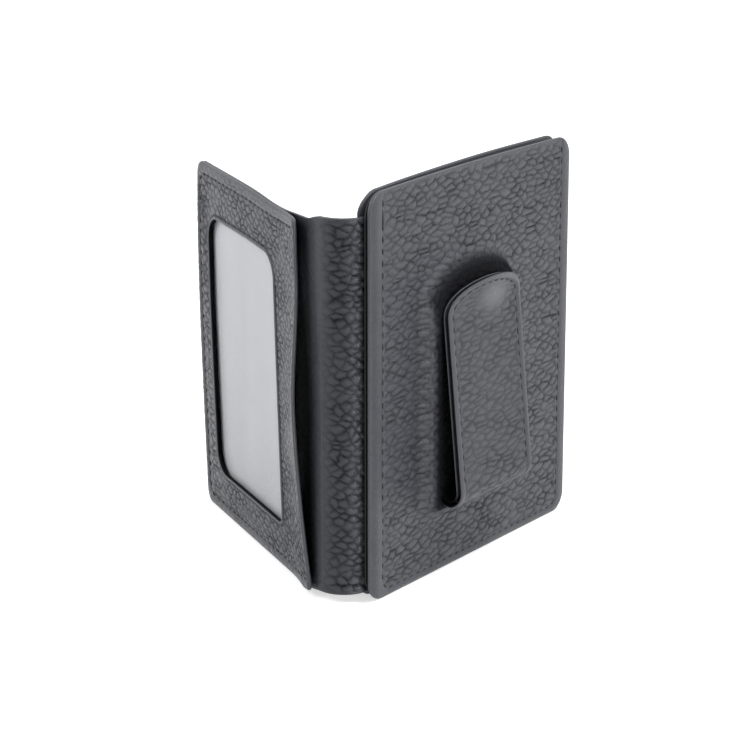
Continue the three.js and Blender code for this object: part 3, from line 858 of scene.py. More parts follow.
def steel_finish(name):
    """Spring steel, drawn along its length."""
    finish = Finish(name)
    drawn = finish.scaled(finish.coordinates("Object"), (1, 1, 0.03))
    lines = finish.noise(drawn, scale=4, detail=3)
    finish.feed("Roughness", finish.range(lines, NOISE_SPAN, (0.28, 0.42)))
    finish.feed("Base Color", finish.mix(lines, toned(colours().steel, 0.8), colours().steel))
    finish.bump(lines, strength=0.1, distance=0.00003)
    finish.set(Metallic=1.0)
    return finish.material


def edge_finish(name):
    """Burnished edge of a filler strip: dark, with flecks of fibre."""
    finish = Finish(name)
    fibres = finish.noise(finish.coordinates("Object"), scale=2.2, detail=5)
    finish.feed("Base Color", finish.mix(fibres, colours().crease, colours().leather))
    finish.feed("Roughness", finish.range(fibres, NOISE_SPAN, (0.45, 0.65)))
    finish.bump(fibres, strength=0.3, distance=0.0001)
    return finish.material


FINISHES = {
    "outer_leather": lambda name: leather_finish(name, roughness=0.34),
    "spine_leather": lambda name: leather_finish(name, roughness=0.24),
    "inner_leather": lambda name: leather_finish(name, roughness=0.48),
    "sewing_thread": thread_finish,
    "woven_lining": lambda name: woven_finish(name, kind="UV"),
    "woven_lining_inside": lambda name: woven_finish(name, kind="Object"),
    "smooth_lining": pale_finish,
    "clear_film": film_finish,
    "pressed_board": board_finish,
    "drawn_steel": steel_finish,
    "burnished_edge": edge_finish,
}


def finish_of(name):
    """A finish by name, made once."""
    return bpy.data.materials.get(name) or FINISHES[name](name)


# Places

def clip_face(height):
    """Lays a flat piece on the clip half, grain side out, with its upper edge bowed up."""
    fade_down = 8
    low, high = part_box("clip_panel_leather")

    def lay(point):
        across = held((point.x - low.x) / (high.x - low.x))
        up = max(point.y / high.z, 0)
        bow = sizes().top_bow * math.sin(math.pi * across) * up ** fade_down
        return Vector((point.x, height - point.z, point.y + bow))
    return lay


def inner_face(height):
    """Lays a flat piece on the clip half, grain side towards the cards."""
    return lambda point: Vector((point.x, height + point.z, point.y))


class Fold:
    """The round spine and the window cover beyond it."""

    def __init__(self):
        look = sizes()
        panel_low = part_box("clip_panel_leather")[0]
        tongue_low, tongue_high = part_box("spine_tongue")
        self.radius = look.spine_radius
        self.centre = Vector((panel_low.x + look.spine_tuck, tongue_low.y + self.radius))
        self.bottom = tongue_low.z
        self.top = tongue_high.z
        self.tongue = self.centre.x - tongue_high.x
        self.arc = self.arc_to("id_fold")
        self.out = (Vector(JOINTS["id_fold"]["pos_m"]).xy - self.centre).normalized()
        self.along = Vector((self.out.y, -self.out.x))
        self.start = self.centre + self.out * self.radius
        self.width = self.cover_box("id_cover_leather")[1].x

    def arc_to(self, joint):
        """Length round the spine from its tongue to a fold."""
        fold = Vector(JOINTS[joint]["pos_m"]).xy - self.centre
        turn = (-QUARTER - math.atan2(fold.y, fold.x)) % (2 * math.pi)
        return self.radius * turn

    def cover_box(self, node):
        """Lowest and highest corner of a node along the cover, out of it and upwards."""
        local = []
        for vertex in frame["nodes"][node].data.vertices:
            way = vertex.co.xy - self.start
            local.append((way.dot(self.along), way.dot(self.out), vertex.co.z))
        return Vector(map(min, *local)), Vector(map(max, *local))

    def low(self, up):
        """How far down the cover a height is, from 0 to 1."""
        return held(1 - (up - self.bottom) / (self.top - self.bottom))

    def sunk(self, along, low):
        """How far the soft cover has sunk, which starts on the spine beside it."""
        look = sizes()
        head = look.cover_sag + look.cover_dip * bump_of(along - look.dip_place, look.dip_width)
        foot = look.cover_foot + look.cover_drop * held(along / self.width)
        begun = smooth((along + look.sag_lead) / (look.sag_start + look.sag_lead))
        return begun * (head * (1 - low) + foot * low)

    def settle(self, along, out, up):
        """Where a point of the cover comes to rest: the soft cover leans, sinks and bows a little."""
        look = sizes()
        belly_lift = 0.7
        low = self.low(up)
        out -= look.cover_lean * low * smooth(along / look.lean_start)
        out += look.cover_belly * held(along / self.width) * math.sin(math.pi * low ** belly_lift)
        out += look.cover_pinch * self.sewn(along, up)
        up -= self.sunk(along, low)
        flat = self.start + self.along * along + self.out * out
        return Vector((flat.x, flat.y, up))

    def edge(self, along, up):
        """Distance in from the nearest sewn edge of the cover: the lower, upper or outer one."""
        return min(up - self.bottom, self.top - up, self.width - along)

    def sewn(self, along, up):
        """1 at the sewn edges of the cover, where its layers are drawn together, and 0 away from them."""
        look = sizes()
        return smooth(along / look.lean_start) * (1 - smooth(self.edge(along, up) / look.edge_dip_width))

    def cover_face(self, height, sign=1):
        """Lays a flat piece on the cover at a height, grain side out, or in for a sign of -1."""
        return lambda point: self.settle(point.x, height + sign * point.z, point.y)

    def round_spine(self, point):
        """Lays a flat piece on the tongue, round the spine and on along the cover."""
        if point.x <= 0:
            return Vector((self.centre.x - point.x, self.centre.y - self.radius - point.z, point.y))
        if point.x >= self.arc:
            look = sizes()
            along = point.x - self.arc
            pared = 1 - look.skive * (1 - smooth(self.edge(along, point.y) / look.skive_width))
            return self.settle(along, point.z * pared, point.y)
        angle = -QUARTER - point.x / self.radius
        reach = self.radius + point.z
        flat = self.centre + Vector((math.cos(angle), math.sin(angle))) * reach
        return Vector((flat.x, flat.y, point.y - self.sunk(point.x - self.arc, self.low(point.y))))


class Bend:
    """The bend of the clip, the leaf that rises from it and the flare at the leaf's tip."""

    def __init__(self, radius, sign):
        look = sizes()
        pivot = Vector(JOINTS["clip_spring"]["pos_m"])
        leaf_low, leaf_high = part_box("clip_leaf_leather")
        self.half = (leaf_high.x - leaf_low.x) / 2
        self.middle = pivot.x
        self.radius = radius
        self.sign = sign
        self.centre = Vector((pivot.y, pivot.z + look.bend_radius))
        self.arc = radius * (QUARTER + look.leaf_tilt)
        self.straight = self.arc + look.leaf_length
        self.out = Vector((-math.cos(look.leaf_tilt), math.sin(look.leaf_tilt)))
        self.along = Vector((self.out.y, -self.out.x))
        reach = look.bend_radius + look.flare_radius
        self.hub = self.centre + self.out * reach + self.along * look.leaf_length
        self.flare = reach - radius
        tip_turn = look.leaf_tilt + math.asin((leaf_high.z - self.hub.y) / self.flare)
        self.top = self.straight + self.flare * tip_turn

    def lay(self, point):
        """Lays a flat piece round the bend: y is 0 at its lowest line and runs up the leaf."""
        look = sizes()
        reach = self.radius + self.sign * point.z
        if point.y <= self.arc:
            angle = -QUARTER - point.y / self.radius
            place = self.centre + Vector((math.cos(angle), math.sin(angle))) * reach
        elif point.y <= self.straight:
            place = self.centre + self.out * reach + self.along * (point.y - self.arc)
        else:
            turn = (point.y - self.straight) / self.flare
            spoke = self.along * math.sin(turn) - self.out * math.cos(turn)
            place = self.hub + spoke * (self.flare - self.sign * point.z)
        narrow = look.bend_taper / self.half * smooth(0.5 - point.y / (2 * look.bend_radius))
        return Vector((self.middle + point.x * (1 - narrow), place.x, place.y))


def dress(piece, body, slot, *nodes):
    """Says what a piece rides on and which nodes it stands for; the slot is not used."""
    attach(piece, body)
    if nodes:
        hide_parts(*nodes)
    return piece


def node_outline(node, radius):
    """Outline of a flat node on the clip half."""
    return box_outline(*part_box(node), round_corners(radius))


def seam_outline(node, reach_up):
    """Middle line of a seam on the clip half, carried on past the open top of the pocket."""
    look = sizes()
    low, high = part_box(node)
    half = look.thread_width / 2
    return Outline(low.x + half, high.x - half, low.z + half, high.z + reach_up,
                   round_corners(look.seam_corner))


def full_rows(thickness):
    """Rows over the rim of a sheet, with a smaller radius where the sheet is thin."""
    look = sizes()
    thickness_per_radius = 2.2
    radius = min(look.rim_round, thickness / thickness_per_radius)
    return rim_rows(radius, thickness, look.rim_steps)


# Clip half

class ClipPanelHide(Hide):
    """The clip half's outer leather: raised over the hidden spring, wrinkled round it, cut for the clip,
    with painted shade on the field under the clip, inside the slit and on the band beside the spine.
    """

    def __init__(self, outline, seam):
        super().__init__(outline, seam)
        look = sizes()
        spring_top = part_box("clip_spring_base")[1].z
        bend_low, bend_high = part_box("clip_bend_leather")
        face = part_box("clip_panel_leather")[0].y
        pivot = Vector(JOINTS["clip_spring"]["pos_m"])
        bend_centre = pivot.z + look.bend_radius
        depth_in = math.sqrt((bend_centre - bend_low.z) ** 2 - (face - pivot.y) ** 2)
        slit_bottom = bend_centre - depth_in - look.slit_room
        slit_top = bend_centre + look.slit_room
        bend_half = (bend_high.x - bend_low.x) / 2
        slit_half = bend_half - look.bend_taper / 3
        self.slit = Outline(pivot.x - slit_half, pivot.x + slit_half, slit_bottom, slit_top,
                            round_corners(look.slit_room))
        half = bend_half + look.plateau_rim
        corners = round_corners(look.plateau_corner)[:2] + [(half, look.plateau_tip)] * 2
        self.field = Outline(pivot.x - half, pivot.x + half, slit_bottom - look.plateau_rim,
                             spring_top + look.plateau_margin, corners)

    def along_edge(self, x, y):
        """A distance along the edge of the raised field, from the top of its oval end."""
        shoulder = self.field.corner(2)[1]
        half = self.field.width / 2
        side = 1 if x > self.field.middle.x else -1
        if y < shoulder:
            return side * (half * QUARTER + shoulder - y)
        return half * math.atan2(x - self.field.middle.x, max(y - shoulder, HAIR))

    def work(self, x, y):
        """Lifts the leather to the field, wrinkles it round the field and turns it in at the slit, and
        paints shade on the field under the clip, inside the slit and on the band beside the spine.
        """
        look = sizes()
        least_near = 0.02
        wrinkle_layer = 3.0
        flank_curve = 1.8
        shade_at_sides = 0.75
        shade_at_tip = 0.25
        most_field_shade = 0.85
        band_reach = 1.5
        lift, strength = self.body(x, y)
        height = pebble(x, y, self.layer)
        inside = self.field.depth(x, y)
        near = bump_of(inside, look.wrinkle_reach)
        if near > least_near:
            along = self.along_edge(x, y) / look.wrinkle_length
            height += near * (cells(along, inside / look.wrinkle_width, wrinkle_layer) - height)
        rise = held(1 + inside / look.plateau_slope)
        lift += look.plateau_height * rise ** flank_curve
        cut = smooth(0.5 + self.slit.depth(x, y) / look.slit_ramp)
        lift -= look.slit_depth * cut + look.grain_depth * strength * (1 - height)
        # Painted shade on the raised field under the clip, which starts higher up its flank at the sides
        # than at the tip.
        near_tip = smooth(1 + (y - self.field.top) / (2 * look.plateau_tip))
        shade_start = shade_at_sides + (shade_at_tip - shade_at_sides) * near_tip
        hidden = most_field_shade * smooth((rise - shade_start) / (1 - shade_start))
        # Painted shade on the band beside the spine; cut also paints shade inside the slit.
        beside = look.band_shade * smooth((self.outline.left - x) / look.band_width + band_reach)
        tone = crease_shade(strength, 1 - height) * (1 - cut) * (1 - hidden) * (1 - beside)
        return Vector((0, 0, lift)), tone


class WALLET_OT_clip_panel(bpy.types.Operator):
    """Make the outer leather of the clip half and its seam"""

    bl_idname = "wallet.clip_panel"
    bl_label = "Clip panel"

    def execute(self, context):
        look = sizes()
        outline = node_outline("clip_panel_leather", look.panel_corner)
        seam = seam_outline("clip_panel_thread", look.panel_corner * 2)
        hide = ClipPanelHide(outline, seam)
        lay = clip_face(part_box("clip_panel_leather")[1].y - look.panel_leather)
        panel = cut_sheet("panel_leather", outline, full_rows(look.panel_leather), look.fine_cell,
                          hide.work, lay, finish_of("outer_leather"))
        dress(panel, "clip_half", "leather", "clip_panel_leather")
        seam_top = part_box("clip_panel_thread")[1].z
        marks = stitch_marks(seam.loop(3), lambda place: place.y < seam_top)
        last_place = Vector((seam.left, seam_top - look.long_stitch))
        marks.append((last_place, Vector((0, 1)), look.long_stitch))
        stitches = sew("panel_stitches", marks, lay, finish_of("sewing_thread"))
        dress(stitches, "clip_half", "thread", "clip_panel_thread")
        return {"FINISHED"}


class WALLET_OT_back_pocket(bpy.types.Operator):
    """Make the back panel of the clip half and the card slots on it"""

    bl_idname = "wallet.back_pocket"
    bl_label = "Back panel and card slots"

    def execute(self, context):
        look = sizes()
        self.add("back_leather", "pocket_back_leather", look.panel_corner, 1)
        for layer, name in enumerate(("card_slot_rear", "card_slot_middle", "card_slot_front")):
            self.add(name.replace("card_slot", "slot") + "_leather", name, look.slot_corner, 2 + layer)
        return {"FINISHED"}

    def add(self, name, node, corner, layer):
        """One sheet whose grain side looks at the cards, with its seam."""
        look = sizes()
        low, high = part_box(node)
        outline = node_outline(node, corner)
        inset = look.seam_inset
        seam = Outline(outline.left + inset, outline.right - inset, outline.bottom + inset,
                       outline.top + 2 * look.panel_corner, round_corners(look.seam_corner))
        hide = Hide(outline, seam, layer=layer, grain=0.8)
        lay = self.pinched(high.y) if node == "pocket_back_leather" else inner_face(high.y)
        sheet = cut_sheet(name, outline, full_rows(high.y - low.y), look.inner_cell, hide.work, lay,
                          finish_of("inner_leather"))
        dress(sheet, "clip_half", "leather", node)
        marks = stitch_marks(seam.loop(3), lambda place: place.y < outline.top - inset)
        stitches = sew(name.replace("leather", "stitches"), marks, lay, finish_of("sewing_thread"))
        dress(stitches, "clip_half", "thread")

    def pinched(self, height):
        """Lays the back panel: its upper corner at the spine is drawn to the front, its edge bowed up."""
        look = sizes()
        pinch_reach = 0.75
        sink_reach = 0.2
        low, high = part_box("pocket_back_leather")
        spine_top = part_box("spine_tongue")[1].z
        plain = inner_face(height)

        def lay(point):
            across = held((point.x - low.x) / (high.x - low.x))
            up = smooth((point.y - spine_top) / (high.z - spine_top))
            place = plain(point)
            place.y -= up * look.back_pinch * (1 - smooth(across / pinch_reach))
            place.z += up * look.top_bow * math.sin(math.pi * across)
            place.z -= up * look.back_sink * (1 - smooth(across / sink_reach))
            return place
        return lay


# Spine and window cover

class SpineHide(Hide):
    """The spine and cover leather: deep pebbles beside the clip half, smooth into the pocket, with painted
    shade on its far side and inside the pocket.
    """

    def __init__(self, outline, fold, under_from):
        super().__init__(outline, layer=7, across=0.75, up=1.15)
        self.fold = fold
        self.under_from = under_from

    def work(self, x, y):
        """Presses the grain and a crease along both edges, and paints shade on the far side and inside the
        pocket.
        """
        look = sizes()
        near_grain = 1.5
        far_grain = 0.25
        fades_from = 0.45
        fades_over = 0.35
        far_shade_share = 0.34
        darkens_from = 0.2
        darkens_over = 0.25
        crease_inset = 0.0026
        crease_depth = 0.7 * look.seam_groove
        under_depth = 0.00003
        under_ramp = 0.0004
        pocket_start = 0.0015
        pocket_slant = 0.008
        pocket_ramp = 0.004
        pocket_shade_share = 0.65
        edge = min(y - self.fold.bottom, self.fold.top - y)
        round_share = x / self.fold.arc
        past = smooth((round_share - fades_from) / fades_over)
        strength = rim_fade(edge) * (near_grain + (far_grain - near_grain) * past)
        low = 1 - pebble(x, y, self.layer, self.across, self.up)
        lift = -look.grain_depth * strength * low
        lift -= crease_depth * bump_of(edge - crease_inset, look.seam_width)
        lift -= under_depth * smooth((x - self.under_from) / under_ramp)
        # Painted shade inside the pocket's mouth, which starts further in at the top.
        rise = 1 - 2 * self.fold.low(y)
        inside = x - self.fold.arc - pocket_start - pocket_slant * smooth(rise)
        pocket = pocket_shade_share * smooth(inside / pocket_ramp)
        # Painted shade on the far side of the spine.
        far_shade = far_shade_share * smooth((round_share - darkens_from) / darkens_over)
        return Vector((0, 0, lift)), crease_shade(strength, low) * (1 - far_shade) * (1 - pocket)


class WALLET_OT_spine(bpy.types.Operator):
    """Make the leather of the spine and the cover, which bends at both sides of the spine"""

    bl_idname = "wallet.spine"
    bl_label = "Spine and cover leather"

    def execute(self, context):
        look = sizes()
        fold = Fold()
        cover_end = fold.arc + fold.width
        first_arc = fold.arc_to("spine_fold")
        tiny = look.rim_round / 5
        give = 0.0032
        overlap = 0.0006
        split = fold.arc - give
        spine = self.add("spine_leather_near", fold, fold.tongue, split + overlap, split - overlap / 2,
                         round_corners(tiny), look.fine_cell)
        self.on_spine(fold, first_arc - give)
        self.on_spine(fold, first_arc + give)
        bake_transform(spine)
        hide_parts("spine_tongue", "spine_leather")
        corners = round_corners(tiny, look.cover_corner, look.cover_corner, tiny)
        cover = self.add("cover_leather", fold, split, cover_end, cover_end * 2, corners, look.inner_cell)
        self.on_spine(fold, fold.arc - give)
        self.on_spine(fold, fold.arc + give)
        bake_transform(cover)
        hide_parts("id_cover_leather")
        return {"FINISHED"}

    def on_spine(self, fold, along):
        """A point in the middle of the leather, at a distance along it."""
        look = sizes()
        return fold.round_spine(Vector((along, (fold.bottom + fold.top) / 2, -look.cover_leather / 2)))

    def add(self, name, fold, start, end, under_from, corners, cell):
        """One stretch of the leather, which may run a little under the next."""
        look = sizes()
        outline = Outline(start, end, fold.bottom, fold.top, corners)
        hide = SpineHide(outline, fold, under_from)
        tight = rim_rows(look.rim_round / 2, look.cover_leather, look.rim_steps)
        return cut_sheet(name, outline, tight, cell, hide.work, fold.round_spine,
                         finish_of("spine_leather"), meshed_back=True)


LIP_REACH = 5


class FrameHide(Hide):
    """The window frame: fine grain between its seam and the pressed lip of the window."""

    def __init__(self, outline, seam, window):
        super().__init__(outline, seam, layer=11, across=0.75, up=1.05)
        self.band_grain = 0.5
        self.window = window

    def work(self, x, y):
        """Smooths the lip of the window and presses a line round it, darkened with painted shade."""
        look = sizes()
        line_inset = 2.6 * look.rim_round
        line_width = 0.6 * look.rim_round
        # Painted shade in the pressed line round the window.
        line_shade = 0.7
        moved, tone = super().work(x, y)
        lip = -self.window.depth(x, y)
        plain = smooth(lip / (LIP_REACH * look.rim_round))
        line = bump_of(lip - line_inset, line_width)
        moved.z = moved.z * plain - look.seam_groove * line
        return moved, (1 - plain * (1 - tone)) * (1 - line_shade * line)

    def rim(self, flat):
        """The cut edge of the window is dyed dark, and the outer edge isn't."""
        near_window = self.outline.width / 40
        if self.window.depth(flat.x, flat.y) > -near_window:
            return dark_rim(flat * 2)
        return pale_rim(flat)


class WALLET_OT_window_cover(bpy.types.Operator):
    """Make the window frame, its seam, the film and the pale lining behind it"""

    bl_idname = "wallet.window_cover"
    bl_label = "Window frame, film and lining"

    def execute(self, context):
        look = sizes()
        side_steps = 172
        corner_steps = 14
        face_rows = 50
        back_rows = 8
        steps = (side_steps, corner_steps, face_rows, back_rows)
        self.fold = Fold()
        self.low, self.high = self.fold.cover_box("id_frame_leather")
        outer = box_outline(self.low, self.high, round_corners(look.free_corner, look.cover_corner,
                                                               look.cover_corner, look.free_corner))
        film_low, film_high = self.fold.cover_box("id_window_film")
        over = look.film_overlap
        self.window = Outline(film_low.x + over, film_high.x - over, film_low.z + over, film_high.z - over,
                              round_corners(look.sharp_corner, *[look.window_corner] * 3))
        thread_low, thread_high = self.fold.cover_box("id_frame_thread")
        half = look.thread_width / 2
        seam = Outline(-self.high.x, thread_high.x - half, thread_low.z + half, thread_high.z - half,
                       round_corners(look.seam_corner))
        hide = FrameHide(outer, seam, self.window)
        leather = cut_frame("frame_leather", outer, self.window, full_rows(look.frame_leather), steps,
                            hide.work, self.lay, finish_of("outer_leather"), hide.rim)
        dress(leather, "id_half", "leather", "id_frame_leather")
        marks = stitch_marks(seam.loop(0), lambda place: place.x > thread_low.x)
        stitches = sew("frame_stitches", marks, self.lay, finish_of("sewing_thread"))
        dress(stitches, "id_half", "thread", "id_frame_thread")
        self.sheet("window_film", "id_window_film", "window_film", "clear_film")
        self.sheet("pocket_lining", "id_pocket_lining", "pale_lining", "smooth_lining")
        return {"FINISHED"}

    def lay(self, point):
        """Lays the frame on the cover, its free edge slanted and bowed out into the pocket's mouth."""
        look = sizes()
        lower_curve = 1.55
        upper_reach = 0.7
        lower_slant = 0.8
        slant_back = 0.3
        middle = (self.low.z + self.high.z) / 2
        half = (self.high.z - self.low.z) / 2
        rise = (point.y - middle) / half
        across = held((self.window.left - point.x) / (self.window.left - self.low.x))
        below = held(-rise / (1 - look.mouth_seam / half))
        bow = (1 - below ** lower_curve) * (1 - (1 - look.mouth_top) * smooth(rise / upper_reach))
        slant = look.mouth_slant * across * (max(rise, lower_slant * rise) - slant_back)
        lip = 1 - smooth(-self.window.depth(point.x, point.y) / (LIP_REACH * look.rim_round))
        out = self.low.y + look.frame_leather + point.z
        out += look.mouth_bow * across ** 2 * bow
        out -= look.edge_dip * self.fold.sewn(point.x, point.y)
        out += look.lip_rise * lip * (1 + point.z / look.frame_leather)
        return self.fold.settle(point.x + slant - self.drift(point), out, point.y)

    def drift(self, point):
        """How far the soft frame has slid towards the spine round its window, most of all at the foot."""
        look = sizes()
        top_share = 0.25
        near_share = 1.4
        window = self.window
        if point.x > window.right:
            near = (self.high.x - point.x) / (self.high.x - window.right)
        elif point.x > window.left:
            near = near_share + (1 - near_share) * (point.x - window.left) / window.width
        else:
            near = near_share * (point.x - self.low.x) / (window.left - self.low.x)
        return look.window_drift * near * (top_share + (1 - top_share) * self.fold.low(point.y))

    def sheet(self, name, node, slot, finish):
        """A plain sheet behind the frame."""
        look = sizes()
        low, high = self.fold.cover_box(node)
        outline = box_outline(low, high, round_corners(look.window_corner))
        made = cut_sheet(name, outline, full_rows(high.y - low.y), look.plain_cell, None,
                         self.fold.cover_face(high.y), finish_of(finish), meshed_back=True)
        dress(made, "id_half", slot, node)


class WALLET_OT_slip_pockets(bpy.types.Operator):
    """Make the lining and the two slip pockets inside the window cover"""

    bl_idname = "wallet.slip_pockets"
    bl_label = "Inner lining and slip pockets"

    def execute(self, context):
        look = sizes()
        fold = Fold()
        low, high = fold.cover_box("id_inner_lining")
        outline = box_outline(low, high, round_corners(look.cover_corner))
        lining = cut_sheet("inner_lining", outline, full_rows(high.y - low.y), look.plain_cell, None,
                           fold.cover_face(low.y, -1), finish_of("woven_lining"), meshed_back=True)
        dress(lining, "id_half", "dark_lining", "id_inner_lining")
        for layer, node in enumerate(("id_slip_pocket_rear", "id_slip_pocket_front")):
            low, high = fold.cover_box(node)
            outline = box_outline(low, high, round_corners(look.cover_corner))
            inset = look.seam_inset
            seam = Outline(low.x - high.x, high.x - inset, low.z + inset, high.z - inset,
                           round_corners(look.seam_corner))
            hide = Hide(outline, seam, layer=20 + layer, grain=0.8)
            lay = fold.cover_face(low.y, -1)
            name = node.replace("id_slip_pocket", "slip")
            pocket = cut_sheet(name + "_leather", outline, full_rows(high.y - low.y), look.inner_cell,
                               hide.work, lay, finish_of("inner_leather"))
            dress(pocket, "id_half", "leather", node)
            marks = stitch_marks(seam.loop(0), lambda place: place.x > low.x + inset)
            stitches = sew(name + "_stitches", marks, lay, finish_of("sewing_thread"))
            dress(stitches, "id_half", "thread")
        return {"FINISHED"}


# Clip

class LeafHide(Hide):
    """The clip's cover, with a painted highlight beside its tip, where its grain is smoothed too."""

    def painted_sheen(self, x, y):
        """How strong the painted highlight is, and how much the grain is smoothed there."""
        look = sizes()
        across = (x - look.sheen_aside) / look.sheen_width
        up = (self.outline.top - look.sheen_below - y) / look.sheen_height
        return bump_of(math.hypot(across, up), 1)

    def body(self, x, y):
        lift, strength = super().body(x, y)
        return lift, strength * (1 - self.painted_sheen(x, y))

    def work(self, x, y):
        # A tone above 1 paints the highlight: paler, and glossier through the leather finish.
        sheen_tone = 1.4
        moved, tone = super().work(x, y)
        return moved, tone + (sheen_tone - tone) * self.painted_sheen(x, y)


class WALLET_OT_clip(bpy.types.Operator):
    """Make the clip's cover, backing and seam, which bend with its spring"""

    bl_idname = "wallet.clip"
    bl_label = "Clip cover and backing"

    def execute(self, context):
        look = sizes()
        pivot = Vector(JOINTS["clip_spring"]["pos_m"])
        centre_height = pivot.z + look.bend_radius
        leaf_low, leaf_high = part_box("clip_leaf_leather")
        bend_low, bend_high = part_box("clip_bend_leather")
        half = (leaf_high.x - leaf_low.x) / 2
        cover = Bend(centre_height - bend_low.z, 1)
        tuck = math.asin((bend_high.y - pivot.y) / cover.radius)
        tip = [(half, look.leaf_tip)] * 2
        tiny = round_corners(look.rim_round / 5)[:2]
        outline = Outline(-half, half, -cover.radius * tuck, cover.top, tiny + tip)
        inset = look.seam_inset
        seam = Outline(-half + inset, half - inset, outline.bottom - half, cover.top - inset,
                       tiny + [(half - inset, look.leaf_tip - inset)] * 2)
        hide = LeafHide(outline, seam, layer=31, grain=0.7, across=1.2, up=0.95, puff=0.7, tone=0.88)
        leather = cut_sheet("clip_leather", outline, full_rows(look.leaf_leather), look.fine_cell,
                            hide.work, cover.lay, finish_of("outer_leather"), meshed_back=True,
                            rim_tone=dark_rim)
        self.bend(leather, pivot, bend_low.z, "clip_bend_leather", "clip_leaf_leather")
        marks = stitch_marks(seam.loop(1), lambda place: place.y > cover.arc)
        stitches = sew("clip_stitches", marks, cover.lay, finish_of("sewing_thread"))
        dress(stitches, "clip_leaf", "thread", "clip_leaf_thread")
        backing_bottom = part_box("clip_bend_backing")[0].z
        backing = Bend(centre_height - backing_bottom - look.leaf_backing, -1)
        outline = Outline(-half, half, -backing.radius * QUARTER, backing.top, tiny + tip)
        hide = Hide(outline, layer=37, grain=0.5)
        # Painted shade on the backing's face and on its rim in the bend.
        gap_shade = 0.15
        shaded_share = 0.3

        def bend_shaded_rim(flat):
            """A rim with painted shade in the bend, and pale up the leaf."""
            return smooth(flat.y / backing.arc - shaded_share)

        def gap_shaded_face(x, y):
            """Painted shade on the backing's face, which lies in the dark gap behind the leaf."""
            return hide.work(x, y)[0], gap_shade
        lining = cut_sheet("clip_backing", outline, full_rows(look.leaf_backing), look.inner_cell,
                           gap_shaded_face, backing.lay, finish_of("inner_leather"), meshed_back=True,
                           rim_tone=bend_shaded_rim)
        self.bend(lining, pivot, backing_bottom, "clip_bend_backing", "clip_leaf_backing")
        return {"FINISHED"}

    def bend(self, piece, pivot, lowest, *nodes):
        """Bakes the piece's place into its mesh and hides the nodes it stands for; the pivot and the lowest
        line are not used.
        """
        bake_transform(piece)
        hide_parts(*nodes)


class WALLET_OT_inner_pieces(bpy.types.Operator):
    """Give the pieces that keep their plain solids their finishes"""

    bl_idname = "wallet.inner_pieces"
    bl_label = "Board, springs, linings and fillers"

    def execute(self, context):
        finishes = {
            "clip_panel_board": "pressed_board",
            "clip_panel_lining": "woven_lining_inside",
            "spine_lining": "woven_lining_inside",
            "clip_spring_base": "drawn_steel",
            "clip_leaf_spring": "drawn_steel",
            "pocket_bottom_welt": "burnished_edge",
            "pocket_side_welt": "burnished_edge",
        }
        for node, finish in finishes.items():
            slots = frame["nodes"][node].data.materials
            slots.clear()
            slots.append(finish_of(finish))
        return {"FINISHED"}


# Stage

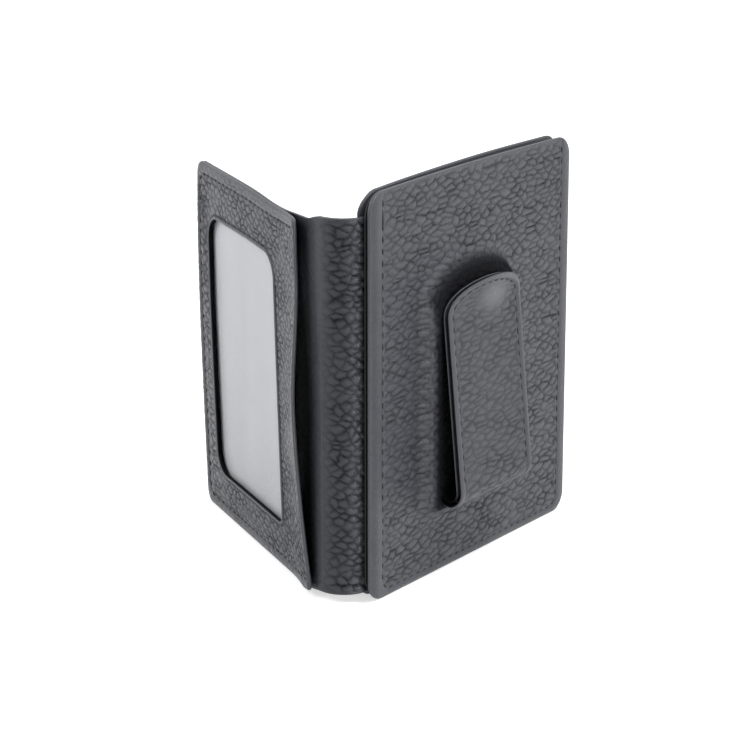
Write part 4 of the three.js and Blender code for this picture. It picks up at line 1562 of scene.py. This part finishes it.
class WALLET_OT_stage(bpy.types.Operator):
    """Set up the floor, the light and the camera"""

    bl_idname = "wallet.stage"
    bl_label = "Floor, light and camera"

    def execute(self, context):
        self.add_floor(context)
        self.add_world(context)
        self.add_lamp(context, "left_softbox", place=(-0.36, 0.46, 0.44), side=0.4, power=2.9)
        self.add_lamp(context, "front_softbox", place=(-0.2, -0.6, 0.08), side=0.3, power=1.9)
        self.add_lamp(context, "top_softbox", place=(0.1, -0.28, 0.7), side=0.3, power=5.2)
        self.add_camera(context)
        context.scene.view_settings.view_transform = "Standard"
        return {"FINISHED"}

    def add_floor(self, context):
        """A wide floor under the wallet."""
        half_width = 8
        mesh_edit = bmesh.new()
        bmesh.ops.create_grid(mesh_edit, x_segments=1, y_segments=1, size=half_width)
        mesh = bpy.data.meshes.new("floor")
        mesh_edit.to_mesh(mesh)
        mesh_edit.free()
        floor = bpy.data.objects.new("floor", mesh)
        context.scene.collection.objects.link(floor)
        mesh.materials.append(self.floor_finish())

    def floor_finish(self):
        """A pale matt floor that shows white where nothing shades it."""
        white_span = (0.15, 0.6)
        material = bpy.data.materials.new("pale_floor")
        material.use_nodes = True
        nodes = Nodes(material.node_tree)
        nodes.tree.nodes.clear()
        matt = nodes.node("ShaderNodeBsdfDiffuse", Color=(*colours().floor, 1))
        glow = nodes.node("ShaderNodeEmission")
        place = nodes.node("ShaderNodeTexCoord")
        distance = nodes.node("ShaderNodeVectorMath", operation="LENGTH")
        nodes.link(place.outputs["Object"], distance.inputs[0])
        level = nodes.range(distance.outputs["Value"], white_span, (stage_set().floor_glow, 1))
        nodes.link(nodes.math("MULTIPLY", nodes.seen_ray(), level), glow.inputs["Strength"])
        both = nodes.node("ShaderNodeAddShader")
        nodes.link(matt.outputs["BSDF"], both.inputs[0])
        nodes.link(glow.outputs["Emission"], both.inputs[1])
        out = nodes.node("ShaderNodeOutputMaterial")
        nodes.link(both.outputs["Shader"], out.inputs["Surface"])
        return material

    def add_world(self, context):
        """Even light at a low level, which shows as white."""
        world = bpy.data.worlds.new("studio")
        world.use_nodes = True
        nodes = Nodes(world.node_tree)
        sky = nodes.tree.nodes["Background"]
        sky.inputs["Color"].default_value = (1, 1, 1, 1)
        level = nodes.range(nodes.seen_ray(), (0, 1), (stage_set().world_level, 1))
        nodes.link(level, sky.inputs["Strength"])
        context.scene.world = world

    def add_lamp(self, context, name, place, side, power):
        """A square soft box that looks at the middle of the wallet."""
        lamp = bpy.data.lights.new(name, "AREA")
        lamp.shape = "SQUARE"
        lamp.size = side
        lamp.energy = power
        made = bpy.data.objects.new(name, lamp)
        made.location = place
        middle = (CAD_BOX[0] + CAD_BOX[1]) / 2
        made.rotation_euler = (middle - Vector(place)).to_track_quat("-Z", "Y").to_euler()
        context.scene.collection.objects.link(made)

    def add_camera(self, context):
        """The camera at the photograph's viewing angle."""
        stage = stage_set()
        lens = bpy.data.cameras.new("camera")
        lens.lens = stage.camera_lens
        lens.sensor_width = 36
        camera = bpy.data.objects.new("camera", lens)
        camera.location = stage.camera_place
        camera.rotation_euler = (QUARTER - stage.camera_pitch, 0, stage.camera_yaw)
        context.scene.collection.objects.link(camera)
        context.scene.camera = camera


class WALLET_PT_pieces(bpy.types.Panel):
    """Lists the pieces of the wallet and the sizes that shape them"""

    bl_label = "Wallet"
    bl_idname = "WALLET_PT_pieces"
    bl_space_type = "VIEW_3D"
    bl_region_type = "UI"
    bl_category = "Wallet"

    def draw(self, context):
        for maker in MAKERS:
            self.layout.operator(maker.bl_idname)
        for group in (sizes(), colours(), stage_set()):
            column = self.layout.column()
            for name in group.__annotations__:
                column.prop(group, name)


MAKERS = (
    WALLET_OT_clip_panel,
    WALLET_OT_back_pocket,
    WALLET_OT_spine,
    WALLET_OT_window_cover,
    WALLET_OT_slip_pockets,
    WALLET_OT_clip,
    WALLET_OT_inner_pieces,
    WALLET_OT_stage,
)
GROUPS = {
    "wallet_sizes": WalletSizes,
    "wallet_colours": WalletColours,
    "wallet_stage": WalletStage,
}


def register():
    for name, group in GROUPS.items():
        bpy.utils.register_class(group)
        setattr(bpy.types.Scene, name, PointerProperty(type=group))
    for maker in (*MAKERS, WALLET_PT_pieces):
        bpy.utils.register_class(maker)


def unregister():
    for maker in (WALLET_PT_pieces, *reversed(MAKERS)):
        bpy.utils.unregister_class(maker)
    for name, group in reversed(GROUPS.items()):
        delattr(bpy.types.Scene, name)
        bpy.utils.unregister_class(group)


def main():
    register()
    bpy.ops.wallet.stage()
    bpy.ops.wallet.clip_panel()
    bpy.ops.wallet.back_pocket()
    bpy.ops.wallet.spine()
    bpy.ops.wallet.window_cover()
    bpy.ops.wallet.slip_pockets()
    bpy.ops.wallet.clip()
    bpy.ops.wallet.inner_pieces()


if __name__ == "__main__":
    main()
